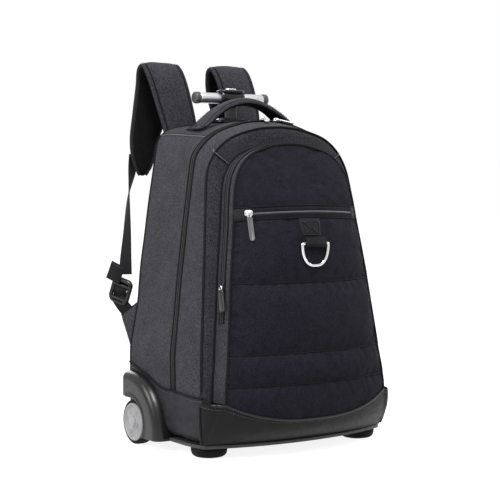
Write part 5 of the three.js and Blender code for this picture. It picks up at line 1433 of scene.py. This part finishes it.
loop_path = []
for z in np.linspace(RING_Z + 9, RING_Z + 0.5, 6):
    loop_path.append((0, RING_Y - 4.1 + (z - RING_Z) * 0.25, z))
for angle in np.linspace(0, math.pi, 12)[1:]:
    loop_path.append((0, RING_Y - 4.0 * math.cos(angle), RING_Z - 4.0 * math.sin(angle)))
for z in np.linspace(RING_Z + 1.5, RING_Z + 10, 6):
    loop_path.append((0, RING_Y + 4.0 + (z - RING_Z) * 0.05, z))
loop_path = resample(loop_path, 0.8)
band_half = 18.5
profile = [(-band_half, -0.4), (-band_half + 0.5, 0.8), (band_half - 0.5, 0.8), (band_half, -0.4),
           (band_half - 0.5, -0.8), (-band_half + 0.5, -0.8)]
profile = np.array(profile)
radial = np.cross(tangents(loop_path), np.array([1.0, 0, 0]))
points = loop_path[:, None] + np.array([1.0, 0, 0]) * profile[None, :, :1]
points = points + radial[:, None] * profile[None, :, 1:]
grid("loop_webbing", points, WEBBING, wrap_cols=True, caps=True, slot="leather", replaces=["ring_loop"])

half = 49 / 2 - 2.4
ring_path = [(math.copysign(abs(math.cos(a)) ** 0.75, math.cos(a)) * half * 1.06, -32.4 * math.sin(a) ** 0.9)
             for a in np.linspace(0, math.pi, 60)]
ring_path += [(x, 0) for x in np.linspace(-half, half, 30)[1:-1]]
ring_path = np.array([(x, RING_Y, RING_Z + z) for x, z in ring_path])
ring_path = resample(np.concatenate([ring_path, ring_path[:1]]), 1.2)[:-1]
ring_path = smooth_loop(ring_path, 2)
sweep("lash_ring_wire", ring_path, circle(2.4, 16), (0, 1, 0), CHROME, closed=True, body="lash_ring",
      slot="metal", replaces=["d_ring"])


# Zip sliders and their plain pulls
def flat_piece(name, origin, u, v, n, levels, material, **rest):
    """Loft of rounded rectangles in the plane of u and v, rising along n."""
    rows = []
    for width, length, corner, height in levels:
        loop = rounded(width, length, corner, 6)
        rows.append(origin + loop[:, :1] * u + loop[:, 1:] * v + n * height)
    return grid(name, rows, material, wrap_cols=True, caps=True, **rest)


def zip_slider(name, origin, u, v, n, metal_look, pull_look, pull_down, length=30, width=7.4, nodes=()):
    """A slider whose zip runs along v, with a ring and a tab hanging along pull_down."""
    origin, u, v, n = (np.asarray(a, float) for a in (origin, u, v, n))
    flat_piece(f"{name}_body", origin, u, v, n, [
        (8.0, 11, 2.6, -1.0), (8.8, 12.6, 3.2, -0.4), (8.8, 12.6, 3.2, 0.8), (8.0, 11.6, 2.8, 1.6),
        (5.6, 9, 2, 2.0)], metal_look, slot="metal", replaces=nodes[:1])
    s = np.linspace(-1, 1, 14)[:, None]
    arc = origin + v * (s * 4.4) + n * (1.6 + 2.6 * np.sqrt(np.maximum(1 - s**2, 0)))
    sweep(f"{name}_bridge", arc, circle(1.1, 8), u, metal_look, slot="metal")
    down = unit(np.asarray(pull_down, float))
    across = unit(np.cross(n, down))
    angles = np.linspace(0, 2 * math.pi, 25)[:-1][:, None]
    start = origin + n * 3.2
    eye = start + down * 3.0 + across * np.cos(angles) * 2.9 + down * np.sin(angles) * 3.4
    sweep(f"{name}_eye", eye, circle(1.1, 8), n, SATIN, closed=True, slot="metal")
    middle = start + down * (5.4 + length / 2)
    flat_piece(f"{name}_tab", middle, across, down, n, [
        (width - 1.6, length - 1.6, 2.4, -1.3), (width, length, 3, -0.7), (width, length, 3, 0.7),
        (width - 1.2, length - 1.2, 2.6, 1.3), (width - 2.2, length - 2.4, 2.1, 1.3),
        (width - 2.6, length - 3.0, 1.9, 0.9)], pull_look, slot="metal", replaces=nodes[1:])


here, normal = face_point(-92.0, arched(-92.0, PANEL_ZIP_Z + 0.5), 2.2)
sideways = unit(np.cross(normal, (0, 0, 1)))
zip_slider("panel_slider", here, np.array([0, 0, 1.0]), sideways, normal, SATIN, PULL, (0, -0.24, -1), 36,
           7.8, ("panel_zip_slider", "panel_zip_pull"))
index = int(np.argmin(np.abs(zip_mid[:HALF // 2, 2] - 250)))
gusset_spot = zip_mid[index] + zip_dir[index] * 1.2
zip_slider("gusset_slider", gusset_spot, np.array([0, 1.0, 0]),
           unit(zip_mid[index + 1] - zip_mid[index - 1]), zip_dir[index], BLACK, PULL_DARK, (-0.1, -0.3, -1),
           33, 11.5, ("pocket_zip_slider", "pocket_zip_pull"))
for label, x, down in (("left", 2, (-0.5, -1, -0.25)), ("right", 24, (0.75, -1, -0.3))):
    base = crown_at(x, 0) + 2.0
    zip_slider(f"crown_slider_{label}", (x, float(zip_y(CROWN)), base), (0, 1, 0), (1, 0, 0), (0, 0, 1),
               SATIN, SATIN, down, 24, 7.2, (f"main_zip_slider_{label}", f"main_zip_pull_{label}"))

# CAD nodes whose shape is right get their finish
for node, finish in (("pole_sleeve", GUN), ("pole_middle", GUN), ("pole_inner", GUN), ("base_tray", TRAY)):
    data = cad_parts[node].data
    data.materials.clear()
    data.materials.append(finish)


# Lights and floor
world = bpy.data.worlds.new("studio")
world.use_nodes = True
for index, value in enumerate(((1, 1, 1, 1), 1.0)):
    world.node_tree.nodes["Background"].inputs[index].default_value = value
bpy.context.scene.world = world
bpy.context.scene.view_settings.view_transform = "Standard"

floor_mesh = bpy.data.meshes.new("floor")
floor_mesh.from_pydata([(-9, -9, 0), (9, -9, 0), (9, 9, 0), (-9, 9, 0)], [], [(0, 1, 2, 3)])
floor = bpy.data.objects.new("floor", floor_mesh)
bpy.context.scene.collection.objects.link(floor)
floor_material = new_material("pale_floor", (0.3, 0.3, 0.3, 1), 0.85, specular=0.0)
for socket, value in (("Emission Color", (1, 1, 1, 1)), ("Emission Strength", 0.86)):
    floor_material.node_tree.nodes["Principled BSDF"].inputs[socket].default_value = value
floor_mesh.materials.append(floor_material)


def area_light(name, place, target, size, power, colour=(1, 1, 1)):
    data = bpy.data.lights.new(name, "AREA")
    data.shape = "RECTANGLE"
    data.size, data.size_y = size
    data.energy = power
    data.color = colour
    light = bpy.data.objects.new(name, data)
    bpy.context.scene.collection.objects.link(light)
    light.location = place
    light.rotation_mode = "QUATERNION"
    light.rotation_quaternion = (Vector(target) - Vector(place)).to_track_quat("-Z", "Y")


area_light("key", (-2.1, 0.2, 1.5), (0, 0, 0.28), (1.2, 1.2), 38)
area_light("top", (-0.5, -1.0, 2.5), (0, 0, 0.45), (0.9, 0.9), 84)
area_light("back", (0.4, 2.2, 1.5), (0, 0, 0.3), (1.2, 1.2), 22)
area_light("right", (2.2, -0.2, 1.2), (0, 0, 0.3), (0.8, 1.2), 14)
